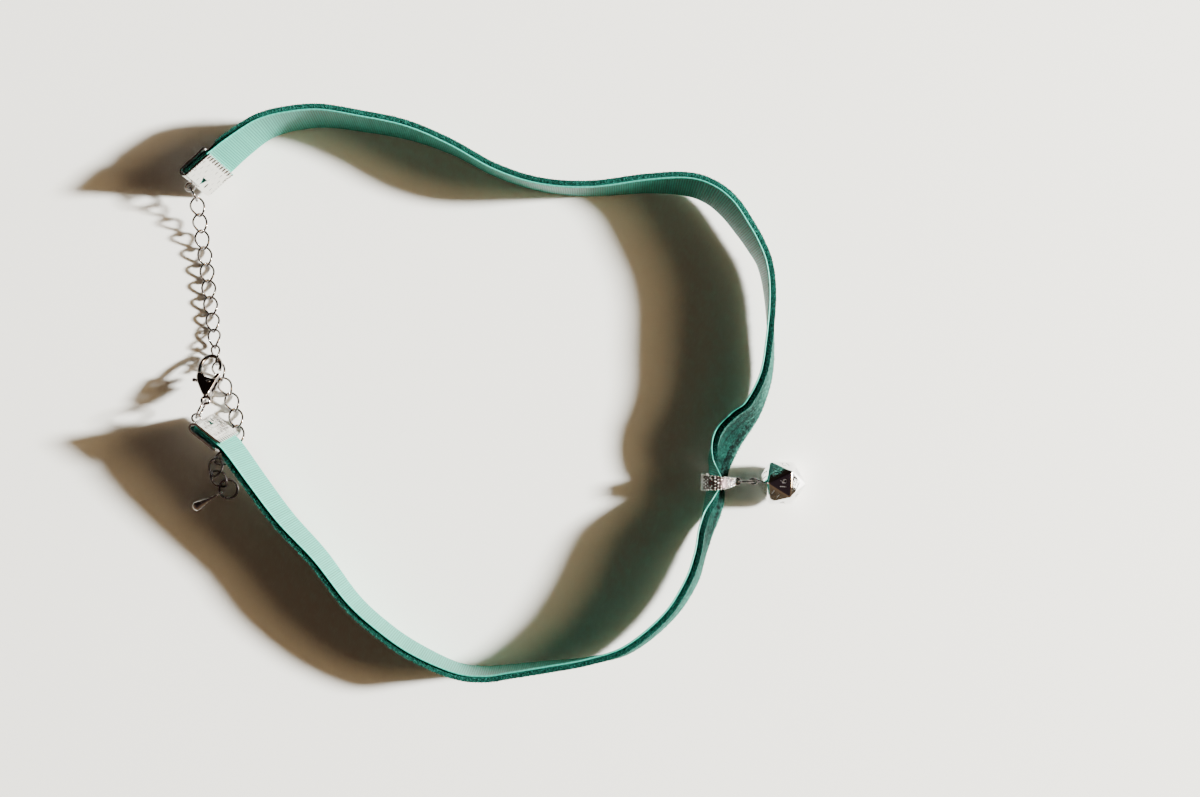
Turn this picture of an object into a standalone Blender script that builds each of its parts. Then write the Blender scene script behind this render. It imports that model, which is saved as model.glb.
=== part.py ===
"""A velvet choker necklace that lies on a flat surface, clasped into a loop.

The ribbon stands on its edge. Its back faces into the loop and its pile faces out. Each end is
held in a toothed crimp. A lobster clasp on one crimp holds the tenth link of the extender chain
that hangs from the other. A bail round the ribbon carries a twenty-sided charm, which rests on
one of its faces. Units are metres and +Z is up.
"""

import math

import bmesh
import bpy
from mathutils import Matrix, Vector

# Ribbon
LOOP_LENGTH = 0.112
LOOP_BREADTH = 0.1075
RIBBON_WIDTH = 0.010
RIBBON_THICK = 0.0015
RIBBON_CRUSHED = 0.0009
RIBBON_STEP = 0.0034
RIBBON_ROWS = 7
CRUSH_RUN = 0.003
CUP_FROM = 0.20
CUP_TO = 0.90
CUP_MEAN = 0.52

# Crimps
CRIMP_LENGTH = 0.0066
CRIMP_OVERHANG = 0.0001
CRIMP_PLATE = 0.0004
CRIMP_GAP = 0.00022
CRIMP_TEETH = 8
CRIMP_TOOTH = 0.00045
CRIMP_WINDOW = 0.0017
CRIMP_WALL = 0.0009
TAB_RADIUS = 0.00105
TAB_HOLE = 0.00062
TAB_THICK = 0.00045
TAB_REACH = 0.0007
FOLD_SIDES = 4

# Extender chain
LINK_COUNT = 19
LINK_LENGTH = 0.00425
LINK_WIDTH = 0.0031
LINK_WIRE = 0.00042
LINK_PITCH = 0.00332
SLACK_PITCH = 0.0028
SLACK_HEADINGS = (-120.0, -160.0, -102.0, -45.0)
LINK_TWIST = 45.0
LINK_SIDES = 14
WIRE_SIDES = 6
HELD_LINK = 10
HELD_ROLL = 58.0
ROLL_FADE = 1.3

# Jump rings
CHAIN_RING_RADIUS = 0.00155
CHAIN_HANG = (0.29, -0.79, -0.54)
CHAIN_START_GAP = 0.0001
BAIL_RING_RADIUS = 0.0017
END_RING_RADIUS = 0.00185
END_RING_HEADING = -50.0
CLASP_RING_RADIUS = 0.00195
RING_WIRE = 0.0005
CLASP_RING_WIRE = 0.00042
RING_SIDES = 16

# Lobster clasp
CLASP_THICK = 0.0022
CLASP_SLOPE = 28.9
CLASP_HEADING = 91.6
CLASP_HANG = (0.43, 0.88, -0.20)
HOOK_TOP = 0.955
HOOK_TOP_AT = (0.00103, 0.06192, 0.00161)
EYE_RADIUS = 0.00082
EYE_WIRE = 0.0006
HOOK_WIRE = 0.00094
HOOK_TIP_WIRE = 0.0007
LEVER_THICK = 0.0008
LEVER_STEP = 0.00005
LEVER_CLEARANCE = 0.0001
LEVER_HUB = 0.00075
LEVER_ARM = 0.0007
LEVER_STEM = 0.00055
KNOB_RADIUS = 0.00043
PIN_RADIUS = 0.00028
PIN_CLEARANCE = 0.00012

# Bail
BAIL_REACH = 0.0063
BAIL_HEIGHT = 0.0090
BAIL_BAND = 0.0006
BAIL_WIDE = 0.0033
BAIL_NARROW = 0.0013
BAIL_EYE_RADIUS = 0.00062
BAIL_EYE_WIRE = 0.00048

# Charm
DIE_RADIUS = 0.005
DIE_EDGE = 0.0002
DIE_HEADING = 177.4
DIE_LOOP_RADIUS = 0.00088
DIE_LOOP_WIRE = 0.00044
DIE_LOOP_TILT = 50.0
DIE_LOOP_BITE = 0.00035

# Teardrop
DROP_LENGTH = 0.0057
DROP_RADIUS = 0.00115
DROP_LOOP_RADIUS = 0.00062
DROP_LOOP_WIRE = 0.0004
DROP_HEADING = 209.0

FLOOR_GAP = 0.00005
ROUND_SIDES = 12
SHARP_ANGLE = 40.0

# Steps between the points of each kind of curve
SECTION_STEPS = 4
ROUTE_STEPS = 60
BAIL_STEPS = 3
HOOK_STEPS = 2

# The ribbon's stations, from the chain's end round to the clasp's end.
# across and along are shares of LOOP_LENGTH and LOOP_BREADTH, lean is the tilt of the top edge
# out of the loop and cup is how far the section curls open outward, both in degrees, and lift
# is the height of the bottom edge as a share of RIBBON_WIDTH.
RIBBON_COLUMNS = ("across", "along", "lean", "cup", "lift")
RIBBON_STATIONS = (
    (0.007, 0.880, 21, 0, 0.075),
    (0.041, 0.912, 21, 0, 0.070),
    (0.084, 0.953, 17, 0, 0.035),
    (0.118, 0.980, 14, 0, 0.010),
    (0.159, 0.994, 12, 0, 0.000),
    (0.213, 1.000, 11, 0, 0.000),
    (0.280, 0.992, 9, 0, 0.000),
    (0.361, 0.977, 7, 0, 0.000),
    (0.437, 0.950, 3, 0, 0.000),
    (0.517, 0.908, 1, 0, 0.000),
    (0.596, 0.882, 1, 0, 0.000),
    (0.684, 0.873, 3, 0, 0.000),
    (0.784, 0.878, 8, 0, 0.030),
    (0.848, 0.873, 13, 0, 0.070),
    (0.885, 0.860, 14, 0, 0.110),
    (0.914, 0.836, 14, 0, 0.140),
    (0.941, 0.802, 11, 0, 0.160),
    (0.963, 0.770, 8, 0, 0.170),
    (0.981, 0.737, 4, 0, 0.170),
    (0.992, 0.683, 0, 0, 0.160),
    (0.998, 0.603, -8, 0, 0.140),
    (0.995, 0.538, -13, 0, 0.110),
    (0.979, 0.480, -20, 2, 0.080),
    (0.963, 0.446, -30, 12, 0.065),
    (0.946, 0.412, -35, 40, 0.065),
    (0.934, 0.379, -26, 82, 0.080),
    (0.925, 0.346, -3, 116, 0.095),
    (0.918, 0.315, -9, 88, 0.080),
    (0.907, 0.284, -16, 42, 0.085),
    (0.893, 0.256, -15, 14, 0.130),
    (0.878, 0.214, -11, 0, 0.180),
    (0.862, 0.160, -13, 0, 0.225),
    (0.821, 0.098, -12, 0, 0.240),
    (0.751, 0.040, -11, 0, 0.225),
    (0.681, 0.021, -7, 0, 0.185),
    (0.610, 0.013, -3, 0, 0.130),
    (0.545, 0.006, 0, 0, 0.075),
    (0.497, 0.002, 2, 0, 0.035),
    (0.449, 0.008, 2, 0, 0.010),
    (0.381, 0.042, 4, 0, 0.000),
    (0.327, 0.080, 4, 0, 0.000),
    (0.272, 0.133, 5, 0, 0.000),
    (0.215, 0.214, 7, 0, 0.010),
    (0.157, 0.284, 9, 0, 0.070),
    (0.110, 0.353, 10, 0, 0.160),
    (0.071, 0.412, 11, 0, 0.205),
    (0.049, 0.436, 12, 0, 0.215),
    (0.017, 0.463, 12, 0, 0.220),
)
BAIL_STATION = 26
# How far the ribbon's last stations, from its end back, go with the clasp that holds that end.
END_PULL = (1.0, 1.0, 1.0, 0.75, 0.5, 0.25)

# The chain's route after its jump ring: the points that its joints follow, as chosen by eye, in
# metres from the loop's left and lower corner. Its last links lie slack, at SLACK_HEADINGS.
CHAIN_ROUTE = (
    (-0.0009, 0.0900, 0.0030),
    (-0.0008, 0.0867, 0.0019),
    (-0.0004, 0.0834, 0.00115),
    (0.0001, 0.0800, 0.00085),
    (0.0007, 0.0736, 0.00079),
    (0.0014, 0.0685, 0.00085),
    (0.0018, 0.0652, 0.00135),
    (0.0022, 0.0622, 0.00185),
    (0.0024, 0.0602, 0.00160),
    (0.0032, 0.0571, 0.00105),
    (0.0048, 0.0541, 0.00086),
    (0.0058, 0.0510, 0.00080),
    (0.0062, 0.0477, 0.00079),
    (0.0062, 0.0445, 0.00079),
    (0.0057, 0.0415, 0.00079),
)

# The clasp's outlines, in the clasp's own plane: side is to the right and up is from the eye
# to the hook, both as shares of CLASP_LENGTH, the eye's centre to the hook's top.
CLASP_LENGTH = 0.0105
CLASP_BODY = (
    (-0.045, 0.085), (0.045, 0.085), (0.105, 0.205), (0.160, 0.335), (0.172, 0.410),
    (0.060, 0.430), (-0.035, 0.475), (-0.088, 0.550), (-0.190, 0.550), (-0.185, 0.400),
    (-0.120, 0.230),
)
CLASP_SLOT = (
    (-0.32, 0.175), (0.32, 0.175), (0.32, 0.65), (-0.07, 0.65), (-0.07, 0.492), (-0.32, 0.492),
)
CLASP_HOOK = (
    (-0.138, 0.500), (-0.160, 0.570), (-0.174, 0.650), (-0.170, 0.745), (-0.130, 0.850),
    (-0.055, 0.930), (0.035, 0.955), (0.125, 0.920), (0.190, 0.835), (0.215, 0.735),
    (0.205, 0.645),
)
PIVOT = (0.034, 0.348)
LEVER_TIP = (0.205, 0.560)
KNOB = (-0.262, 0.448)

# The bail's band, from its narrow end over the ribbon and back under it: out is from the band's
# far left as a share of BAIL_REACH, up is a share of BAIL_HEIGHT, and wide runs from the narrow
# width at 0 to the full width at 1.
BAIL_PROFILE = (
    (1.00, 0.27, 0.00), (0.95, 0.46, 0.10), (0.80, 0.78, 0.34), (0.51, 0.99, 0.66),
    (0.13, 0.84, 0.95), (0.00, 0.52, 1.00), (0.08, 0.24, 0.92), (0.33, 0.08, 0.62),
    (0.66, 0.005, 0.34), (0.90, 0.05, 0.10),
)
BAIL_SEAT_OUT = 0.77
BAIL_SEAT_ALONG = -0.0001

# The teardrop's turned profile: along its length and out as shares of DROP_LENGTH and
# DROP_RADIUS.
DROP_PROFILE = (
    (0.00, 0.20), (0.18, 0.26), (0.36, 0.42), (0.54, 0.66), (0.70, 0.90), (0.82, 1.00),
    (0.92, 0.82), (0.98, 0.42),
)


# The thumb knob's turned profile, in the same shares of its own length and radius.
KNOB_PROFILE = ((0.02, 0.28), (0.20, 0.80), (0.50, 1.00), (0.80, 0.80), (0.98, 0.28))


def clear_scene():
    for thing in list(bpy.data.objects):
        bpy.data.objects.remove(thing, do_unlink=True)


def material(name, colour, roughness, metallic):
    made = bpy.data.materials.new(name)
    made.use_nodes = True
    shader = made.node_tree.nodes["Principled BSDF"]
    shader.inputs["Base Color"].default_value = (*colour, 1.0)
    shader.inputs["Roughness"].default_value = roughness
    shader.inputs["Metallic"].default_value = metallic
    made.diffuse_color = (*colour, 1.0)
    return made


def solid(name, vertices, faces, finish, smooth=SHARP_ANGLE):
    """An object from its points and faces, with its faces turned to point out."""
    mesh = bpy.data.meshes.new(name)
    mesh.from_pydata([tuple(v) for v in vertices], [], faces)
    shape = bmesh.new()
    shape.from_mesh(mesh)
    bmesh.ops.recalc_face_normals(shape, faces=shape.faces)
    shape.to_mesh(mesh)
    shape.free()
    if smooth:
        mesh.shade_smooth()
        mesh.set_sharp_from_angle(angle=math.radians(smooth))
    made = bpy.data.objects.new(name, mesh)
    bpy.context.collection.objects.link(made)
    if finish:
        mesh.materials.append(finish)
    return made


def grid_faces(rows, columns, close_rows, close_columns):
    """Quads over a grid of points that is stored row by row."""
    faces = []
    for i in range(rows if close_rows else rows - 1):
        for j in range(columns if close_columns else columns - 1):
            a = i * columns + j
            b = i * columns + (j + 1) % columns
            c = (i + 1) % rows * columns + (j + 1) % columns
            d = (i + 1) % rows * columns + j
            faces.append((a, b, c, d))
    return faces


def tube(points, ups, radii, sides, closed):
    """The points and faces of a round bar along a line; each up sets how its section turns."""
    vertices = []
    count = len(points)
    for i, point in enumerate(points):
        before = points[(i - 1) % count] if closed else points[max(i - 1, 0)]
        after = points[(i + 1) % count] if closed else points[min(i + 1, count - 1)]
        tangent = (after - before).normalized()
        side = tangent.cross(ups[i]).normalized()
        up = side.cross(tangent)
        for j in range(sides):
            turn = 2 * math.pi * j / sides
            vertices.append(point + (side * math.cos(turn) + up * math.sin(turn)) * radii[i])
    faces = grid_faces(count, sides, closed, True)
    if not closed:
        faces.append(tuple(range(sides)))
        faces.append(tuple(range((count - 1) * sides, count * sides)))
    return vertices, faces


def ring(name, centre, across, over, radius, wire, finish, sides=RING_SIDES):
    """A round ring whose plane holds the directions across and over."""
    first = across.normalized()
    second = (over - first * over.dot(first)).normalized()
    points = []
    for i in range(sides):
        turn = 2 * math.pi * i / sides
        points.append(centre + (first * math.cos(turn) + second * math.sin(turn)) * radius)
    ups = [first.cross(second)] * sides
    return solid(name, *tube(points, ups, [wire / 2] * sides, WIRE_SIDES, True), finish)


def prism(name, outline, low, high, frame, finish):
    """A flat outline in a frame's X and Y, given thickness along the frame's Z."""
    count = len(outline)
    vertices = [frame @ Vector((x, y, z)) for z in (low, high) for x, y in outline]
    faces = [(i, (i + 1) % count, count + (i + 1) % count, count + i) for i in range(count)]
    faces += [tuple(range(count)), tuple(range(count, 2 * count))]
    return solid(name, vertices, faces, finish, 0)


def turned(name, start, axis, side, profile, length, radius, sides, finish):
    """A turned solid along an axis; profile rows are shares of its length and radius."""
    over = axis.cross(side).normalized()
    across = over.cross(axis)
    vertices = []
    for along, out in profile:
        for j in range(sides):
            turn = 2 * math.pi * j / sides
            spoke = across * math.cos(turn) + over * math.sin(turn)
            vertices.append(start + axis * length * along + spoke * radius * out)
    faces = grid_faces(len(profile), sides, False, True)
    faces.append(tuple(range(sides)))
    faces.append(tuple(range(len(vertices) - sides, len(vertices))))
    return solid(name, vertices, faces, finish)


def circle(x, y, radius, sides):
    turns = [2 * math.pi * (i + 0.5) / sides for i in range(sides)]
    return [(x + radius * math.cos(t), y + radius * math.sin(t)) for t in turns]


def combine(base, others, operation):
    """Joins others to base, or cuts them from it, and deletes them."""
    for other in others:
        change = base.modifiers.new("change", "BOOLEAN")
        change.operation = operation
        change.solver = "EXACT"
        change.object = other
        graph = bpy.context.evaluated_depsgraph_get()
        mesh = bpy.data.meshes.new_from_object(base.evaluated_get(graph))
        base.modifiers.clear()
        base.data = mesh
    mesh.shade_smooth()
    mesh.set_sharp_from_angle(angle=math.radians(SHARP_ANGLE))
    for other in others:
        bpy.data.objects.remove(other, do_unlink=True)
    return base


def smooth_between(points, i, t):
    """A point of the smooth curve through points, t of the way from point i to the next."""
    p = [points[max(0, min(len(points) - 1, i + k))] for k in (-1, 0, 1, 2)]
    if i == 0:
        p[0] = p[1] * 2 - p[2]
    if i + 2 >= len(points):
        p[3] = p[2] * 2 - p[1]
    rise = p[2] - p[0]
    bend = p[0] * 2 - p[1] * 5 + p[2] * 4 - p[3]
    twist = p[1] * 3 - p[0] - p[2] * 3 + p[3]
    return p[1] + (rise * t + bend * t * t + twist * t * t * t) * 0.5


def station(row):
    """One row of the ribbon's table: its place in metres, then lean, cup and height."""
    named = dict(zip(RIBBON_COLUMNS, row))
    return Vector((
        named["across"] * LOOP_LENGTH,
        named["along"] * LOOP_BREADTH,
        math.radians(named["lean"]),
        math.radians(named["cup"]),
        named["lift"] * RIBBON_WIDTH,
    ))


def ribbon_line():
    """The ribbon's sections, with its end pulled to where the clasp's jump ring holds it."""
    rows = [station(row) for row in RIBBON_STATIONS]
    hole = end_frame(sections(rows), False) @ Vector((TAB_REACH, 0, 0))
    pull = clasp_hole() - hole
    for back, share in enumerate(END_PULL):
        rows[-1 - back] = rows[-1 - back] + Vector((pull.x, pull.y, 0, 0, pull.z)) * share
    return sections(rows)


def sections(rows):
    """Sections a RIBBON_STEP or less apart, each a place and its turns."""
    line = []
    for i in range(len(rows) - 1):
        run = math.dist(rows[i][:2], rows[i + 1][:2])
        steps = max(1, math.ceil(run / RIBBON_STEP))
        line += [smooth_between(rows, i, k / steps) for k in range(steps)]
    line.append(rows[-1])
    return line


def direction(line, i):
    before = line[max(i - 1, 0)]
    after = line[min(i + 1, len(line) - 1)]
    return Vector((after[0] - before[0], after[1] - before[1], 0)).normalized()


def smoothstep(x):
    t = max(0.0, min(1.0, x))
    return t * t * (3 - 2 * t)


def ribbon_section(place, along, thick):
    """The inner and outer points of one section, from its bottom edge to its top edge."""
    out = Vector((0, 0, 1)).cross(along)
    lean = place[2]
    sag = thick * max(0.0, math.sin(lean))
    point = Vector((place[0], place[1], max(place[4], 0.0) + sag + FLOOR_GAP))
    inner = [point.copy()]
    outer = []
    step = RIBBON_WIDTH / (RIBBON_ROWS - 1) / SECTION_STEPS
    for row in range(RIBBON_ROWS):
        angle = lean + place[3] * (smoothstep_share(row / (RIBBON_ROWS - 1)) - CUP_MEAN)
        outer.append(inner[-1] + (out * math.cos(angle) - Vector((0, 0, math.sin(angle)))) * thick)
        if row == RIBBON_ROWS - 1:
            break
        for k in range(SECTION_STEPS):
            share = (row + (k + 0.5) / SECTION_STEPS) / (RIBBON_ROWS - 1)
            angle = lean + place[3] * (smoothstep_share(share) - CUP_MEAN)
            point = point + (out * math.sin(angle) + Vector((0, 0, math.cos(angle)))) * step
        inner.append(point.copy())
    return inner, outer


def smoothstep_share(share):
    return smoothstep((share - CUP_FROM) / (CUP_TO - CUP_FROM))


def ribbon_thickness(run, whole, bail_run):
    """The ribbon is crushed thinner in its crimps and under the bail."""
    ends = min(run, whole - run) - CRIMP_LENGTH
    bail = abs(run - bail_run) - BAIL_WIDE / 2
    crushed = 1 - smoothstep(min(ends, bail) / CRUSH_RUN)
    return RIBBON_THICK + (RIBBON_CRUSHED - RIBBON_THICK) * crushed


def run_to(line, place):
    """How far along the line its section nearest to a place is."""
    near = min(range(len(line)), key=lambda i: math.dist(line[i][:2], place[:2]))
    return sum(math.dist(line[i][:2], line[i + 1][:2]) for i in range(near))


def make_ribbon(line, finish):
    whole = sum(math.dist(a[:2], b[:2]) for a, b in zip(line, line[1:]))
    bail_run = run_to(line, station(RIBBON_STATIONS[BAIL_STATION]))
    vertices = []
    run = 0.0
    for i, place in enumerate(line):
        if i:
            run += math.dist(line[i - 1][:2], place[:2])
        thick = ribbon_thickness(run, whole, bail_run)
        inner, outer = ribbon_section(place, direction(line, i), thick)
        vertices += inner + outer[::-1]
    around = 2 * RIBBON_ROWS
    faces = grid_faces(len(line), around, False, True)
    faces += [tuple(range(around)), tuple(range((len(line) - 1) * around, len(line) * around))]
    return solid("velvet_ribbon", vertices, faces, finish)


def end_frame(line, at_start):
    """The frame of a crimp: X out of the ribbon's end, Z up its width, from its middle."""
    i = 0 if at_start else len(line) - 1
    along = direction(line, i)
    inner, outer = ribbon_section(line[i], along, RIBBON_CRUSHED)
    out_of_end = along * (-1 if at_start else 1)
    up = (inner[-1] - inner[0]).normalized()
    side = up.cross(out_of_end).normalized()
    middle = (inner[0] + inner[-1] + outer[0] + outer[-1]) / 4
    frame = Matrix((out_of_end, side, up)).transposed().to_4x4()
    frame.translation = middle + out_of_end * crimp_half()
    return frame


def crimp_half():
    """Half the crimp's thickness, which is also its fold's outer radius."""
    return RIBBON_CRUSHED / 2 + CRIMP_GAP + CRIMP_PLATE


def crimp_profile(mouth):
    """The U of the folded plate, from the mouth round the fold and back along its inside."""
    half = crimp_half()
    inside = half - CRIMP_PLATE
    turns = [math.pi * (0.5 - i / FOLD_SIDES) for i in range(FOLD_SIDES + 1)]
    outer = [(-half + half * math.cos(t), half * math.sin(t)) for t in turns]
    inner = [(-half + inside * math.cos(t), inside * math.sin(t)) for t in reversed(turns)]
    return [(mouth, half), *outer, (mouth, -half), (mouth, -inside), *inner, (mouth, inside)]


def hole_axis(frame, hang):
    """The axis of a tab's hole: square to the crimp's way out and to how its ring hangs."""
    return (frame.to_3x3() @ Vector((1, 0, 0))).cross(hang).normalized()


def make_crimp(name, frame, hang, finish):
    half_width = RIBBON_WIDTH / 2 + CRIMP_OVERHANG
    columns = 2 * CRIMP_TEETH + 1
    vertices = []
    for j in range(columns):
        z = -half_width + 2 * half_width * j / (columns - 1)
        mouth = -CRIMP_LENGTH + (CRIMP_TOOTH if j % 2 else 0.0)
        vertices += [frame @ Vector((x, y, z)) for x, y in crimp_profile(mouth)]
    around = len(vertices) // columns
    faces = grid_faces(columns, around, False, True)
    faces += end_caps(around, columns)
    crimp = solid(name, vertices, faces, finish)
    way_out = frame.to_3x3() @ Vector((1, 0, 0))
    axis = hole_axis(frame, hang)
    turned_tab = Matrix((way_out, axis.cross(way_out), axis)).transposed().to_4x4()
    turned_tab.translation = frame.translation
    tab = prism("tab", circle(TAB_REACH, 0, TAB_RADIUS, ROUND_SIDES), -TAB_THICK / 2,
                TAB_THICK / 2, turned_tab, finish)
    crimp = combine(crimp, [tab], "UNION")
    hole = prism("hole", circle(TAB_REACH, 0, TAB_HOLE, ROUND_SIDES), -TAB_THICK, TAB_THICK,
                 turned_tab, None)
    flat = frame @ Matrix.Rotation(math.radians(90), 4, "X")
    near = -CRIMP_WALL
    far = near - CRIMP_WINDOW
    triangle = [(near, 0.0), (far, CRIMP_WINDOW / 2), (far, -CRIMP_WINDOW / 2)]
    window = prism("window", triangle, -RIBBON_THICK * 2, RIBBON_THICK * 2, flat, None)
    return combine(crimp, [hole, window], "DIFFERENCE")


def end_caps(around, columns):
    """Quads that close the two ends of a crimp's U, between its outer and inner lines."""
    caps = []
    for start in (0, (columns - 1) * around):
        for k in range(around // 2 - 1):
            caps.append((start + k, start + k + 1, start + around - 2 - k,
                         start + around - 1 - k))
    return caps


def chain_joints(start):
    """The points where links meet: along the chain's route, and then by the slack headings."""
    route = [start] + [Vector(p) for p in CHAIN_ROUTE]
    steps = [k / ROUTE_STEPS for k in range(ROUTE_STEPS)]
    line = [smooth_between(route, i, t) for i in range(len(route) - 1) for t in steps]
    joints = [start]
    for point in line:
        on_route = len(joints) <= LINK_COUNT - len(SLACK_HEADINGS)
        if on_route and (point - joints[-1]).length >= LINK_PITCH:
            joints.append(joints[-1] + (point - joints[-1]).normalized() * LINK_PITCH)
    for heading in SLACK_HEADINGS:
        turn = math.radians(heading)
        joints.append(joints[-1] + Vector((math.cos(turn), math.sin(turn), 0)) * SLACK_PITCH)
    return joints


def past_joint(pitch):
    """How far beyond a joint each of the two wires that meet there passes."""
    return (LINK_LENGTH - LINK_WIRE - pitch) / 2


def link_roll(number):
    """Links lie flat, but stand up near the one that the hook holds."""
    return math.radians(HELD_ROLL) * math.exp(-abs(number - HELD_LINK) / ROLL_FADE)


def make_link(number, start, end, finish):
    along = (end - start).normalized()
    side = Vector((0, 0, 1)).cross(along).normalized()
    up = along.cross(side)
    centre = (start + end) / 2
    half_length = (LINK_LENGTH - LINK_WIRE) / 2
    half_width = (LINK_WIDTH - LINK_WIRE) / 2
    points = []
    ups = []
    for i in range(LINK_SIDES):
        turn = 2 * math.pi * i / LINK_SIDES
        lengthwise = math.cos(turn)
        twist = math.radians(LINK_TWIST) * lengthwise + link_roll(number)
        wide = side * math.cos(twist) + up * math.sin(twist)
        points.append(centre + along * half_length * lengthwise
                      + wide * half_width * math.sin(turn))
        ups.append(along.cross(wide))
    shape = tube(points, ups, [LINK_WIRE / 2] * LINK_SIDES, WIRE_SIDES, True)
    return solid(f"chain_link_{number:02d}", *shape, finish)


def clasp_hole():
    """Where the crimp's hole is: the clasp's jump ring away from its eye."""
    return clasp_frame().translation - Vector(CLASP_HANG).normalized() * (2 * CLASP_RING_RADIUS)


def clasp_frame():
    """From its eye: X to the clasp's right, Y to its hook, whose top is in place, and Z up."""
    heading = math.radians(CLASP_HEADING)
    slope = math.radians(CLASP_SLOPE)
    flat = Vector((math.cos(heading), math.sin(heading), 0))
    ahead = flat * math.cos(slope) - Vector((0, 0, math.sin(slope)))
    right = ahead.cross(Vector((0, 0, 1))).normalized()
    frame = Matrix((right, ahead, right.cross(ahead))).transposed().to_4x4()
    frame.translation = Vector(HOOK_TOP_AT) - ahead * (HOOK_TOP * CLASP_LENGTH)
    return frame


def in_clasp(share):
    return share[0] * CLASP_LENGTH, share[1] * CLASP_LENGTH


def make_clasp_body(frame, finish):
    outline = [in_clasp(p) for p in CLASP_BODY]
    body = prism("clasp_body", outline, -CLASP_THICK / 2, CLASP_THICK / 2, frame, finish)
    slot_half = LEVER_THICK / 2 + LEVER_CLEARANCE
    slot = prism("slot", [in_clasp(p) for p in CLASP_SLOT], -slot_half, slot_half, frame, None)
    body = combine(body, [slot], "DIFFERENCE")
    line = [Vector((*in_clasp(p), 0)) for p in CLASP_HOOK]
    steps = [k / HOOK_STEPS for k in range(HOOK_STEPS)]
    line = [smooth_between(line, i, t) for i in range(len(line) - 1) for t in steps]
    line.append(Vector((*in_clasp(CLASP_HOOK[-1]), 0)))
    taper = [i / (len(line) - 1) for i in range(len(line))]
    radii = [(HOOK_WIRE + (HOOK_TIP_WIRE - HOOK_WIRE) * t * t) / 2 for t in taper]
    points = [frame @ p for p in line]
    normal = frame.to_3x3() @ Vector((0, 0, 1))
    hook = solid("hook", *tube(points, [normal] * len(points), radii, 8, False), finish)
    x, y = in_clasp(PIVOT)
    pin = prism("pin", circle(x, y, PIN_RADIUS, 8), -CLASP_THICK / 2 + LEVER_CLEARANCE,
                CLASP_THICK / 2 - LEVER_CLEARANCE, frame, finish)
    right = frame.to_3x3() @ Vector((1, 0, 0))
    ahead = frame.to_3x3() @ Vector((0, 1, 0))
    eye = ring("eye", frame.translation, right, ahead, EYE_RADIUS, EYE_WIRE, finish)
    return combine(body, [hook, pin, eye], "UNION")


def bar_outline(start, end, wide_start, wide_end):
    """The outline of a flat bar between two points, wider or narrower at each end."""
    a = Vector(start)
    b = Vector(end)
    along = (b - a).normalized()
    side = Vector((-along.y, along.x))
    corners = [a - side * wide_start / 2, b - side * wide_end / 2,
               b + side * wide_end / 2, a + side * wide_start / 2]
    return [tuple(c) for c in corners]


def make_clasp_lever(frame, finish):
    half = LEVER_THICK / 2
    pivot = in_clasp(PIVOT)
    arm = bar_outline(pivot, in_clasp(LEVER_TIP), LEVER_HUB, LEVER_ARM)
    stem = bar_outline(pivot, in_clasp(KNOB), LEVER_STEM, LEVER_STEM)
    hub = circle(*pivot, LEVER_HUB, ROUND_SIDES)
    lever = prism("clasp_lever", hub, -half, half, frame, finish)
    arm_half = half - LEVER_STEP
    stem_half = half - 2 * LEVER_STEP
    pieces = [prism("arm", arm, -arm_half, arm_half, frame, finish),
              prism("stem", stem, -stem_half, stem_half, frame, finish)]
    away = (frame.to_3x3() @ Vector((-1, 0, 0))).normalized()
    start = frame @ Vector((*in_clasp(KNOB), 0)) - away * KNOB_RADIUS
    knob = turned("knob", start, away, frame.to_3x3() @ Vector((0, 0, 1)), KNOB_PROFILE,
                  2 * KNOB_RADIUS, KNOB_RADIUS, 8, finish)
    lever = combine(lever, [*pieces, knob], "UNION")
    hole = prism("hole", circle(*pivot, PIN_RADIUS + PIN_CLEARANCE, 10), -LEVER_THICK,
                 LEVER_THICK, frame, None)
    return combine(lever, [hole], "DIFFERENCE")


def bail_curve():
    """The bail's section line: out and up in metres, and the band's width there."""
    rows = [Vector(p) for p in BAIL_PROFILE]
    count = len(rows)
    ring_rows = rows[-2:] + rows + rows[:3]
    points = []
    for i in range(count):
        for k in range(BAIL_STEPS):
            out, up, wide = smooth_between(ring_rows, i + 2, k / BAIL_STEPS)
            points.append((out * BAIL_REACH, up * BAIL_HEIGHT,
                           BAIL_NARROW + (BAIL_WIDE - BAIL_NARROW) * max(0.0, min(1.0, wide))))
    return points


def make_bail(seat, finish):
    """The band round the ribbon and the small eye at its narrow end; returns the eye's centre."""
    curve = bail_curve()
    left = seat.x - BAIL_REACH * BAIL_SEAT_OUT
    count = len(curve)
    half = BAIL_BAND / 2
    vertices = []
    for i, (out, up, wide) in enumerate(curve):
        before = Vector(curve[i - 1][:2])
        after = Vector(curve[(i + 1) % count][:2])
        tangent = (after - before).normalized()
        normal = Vector((tangent.y, -tangent.x))
        for away, side in ((half, -1), (half, 1), (-half, 1), (-half, -1)):
            vertices.append(Vector((
                left + out + normal.x * away,
                seat.y + BAIL_SEAT_ALONG + side * wide / 2,
                half + FLOOR_GAP + up + normal.y * away,
            )))
    band = solid("bail", vertices, grid_faces(count, 4, True, True), finish)
    out, up, _ = curve[0]
    eye_centre = Vector((left + out + BAIL_EYE_RADIUS, seat.y + BAIL_SEAT_ALONG,
                         half + FLOOR_GAP + up))
    eye = ring("eye", eye_centre, Vector((1, 0, 0)), Vector((0, 1, 0)), BAIL_EYE_RADIUS,
               BAIL_EYE_WIRE, finish, ROUND_SIDES)
    combine(band, [eye], "UNION")
    return eye_centre


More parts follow.
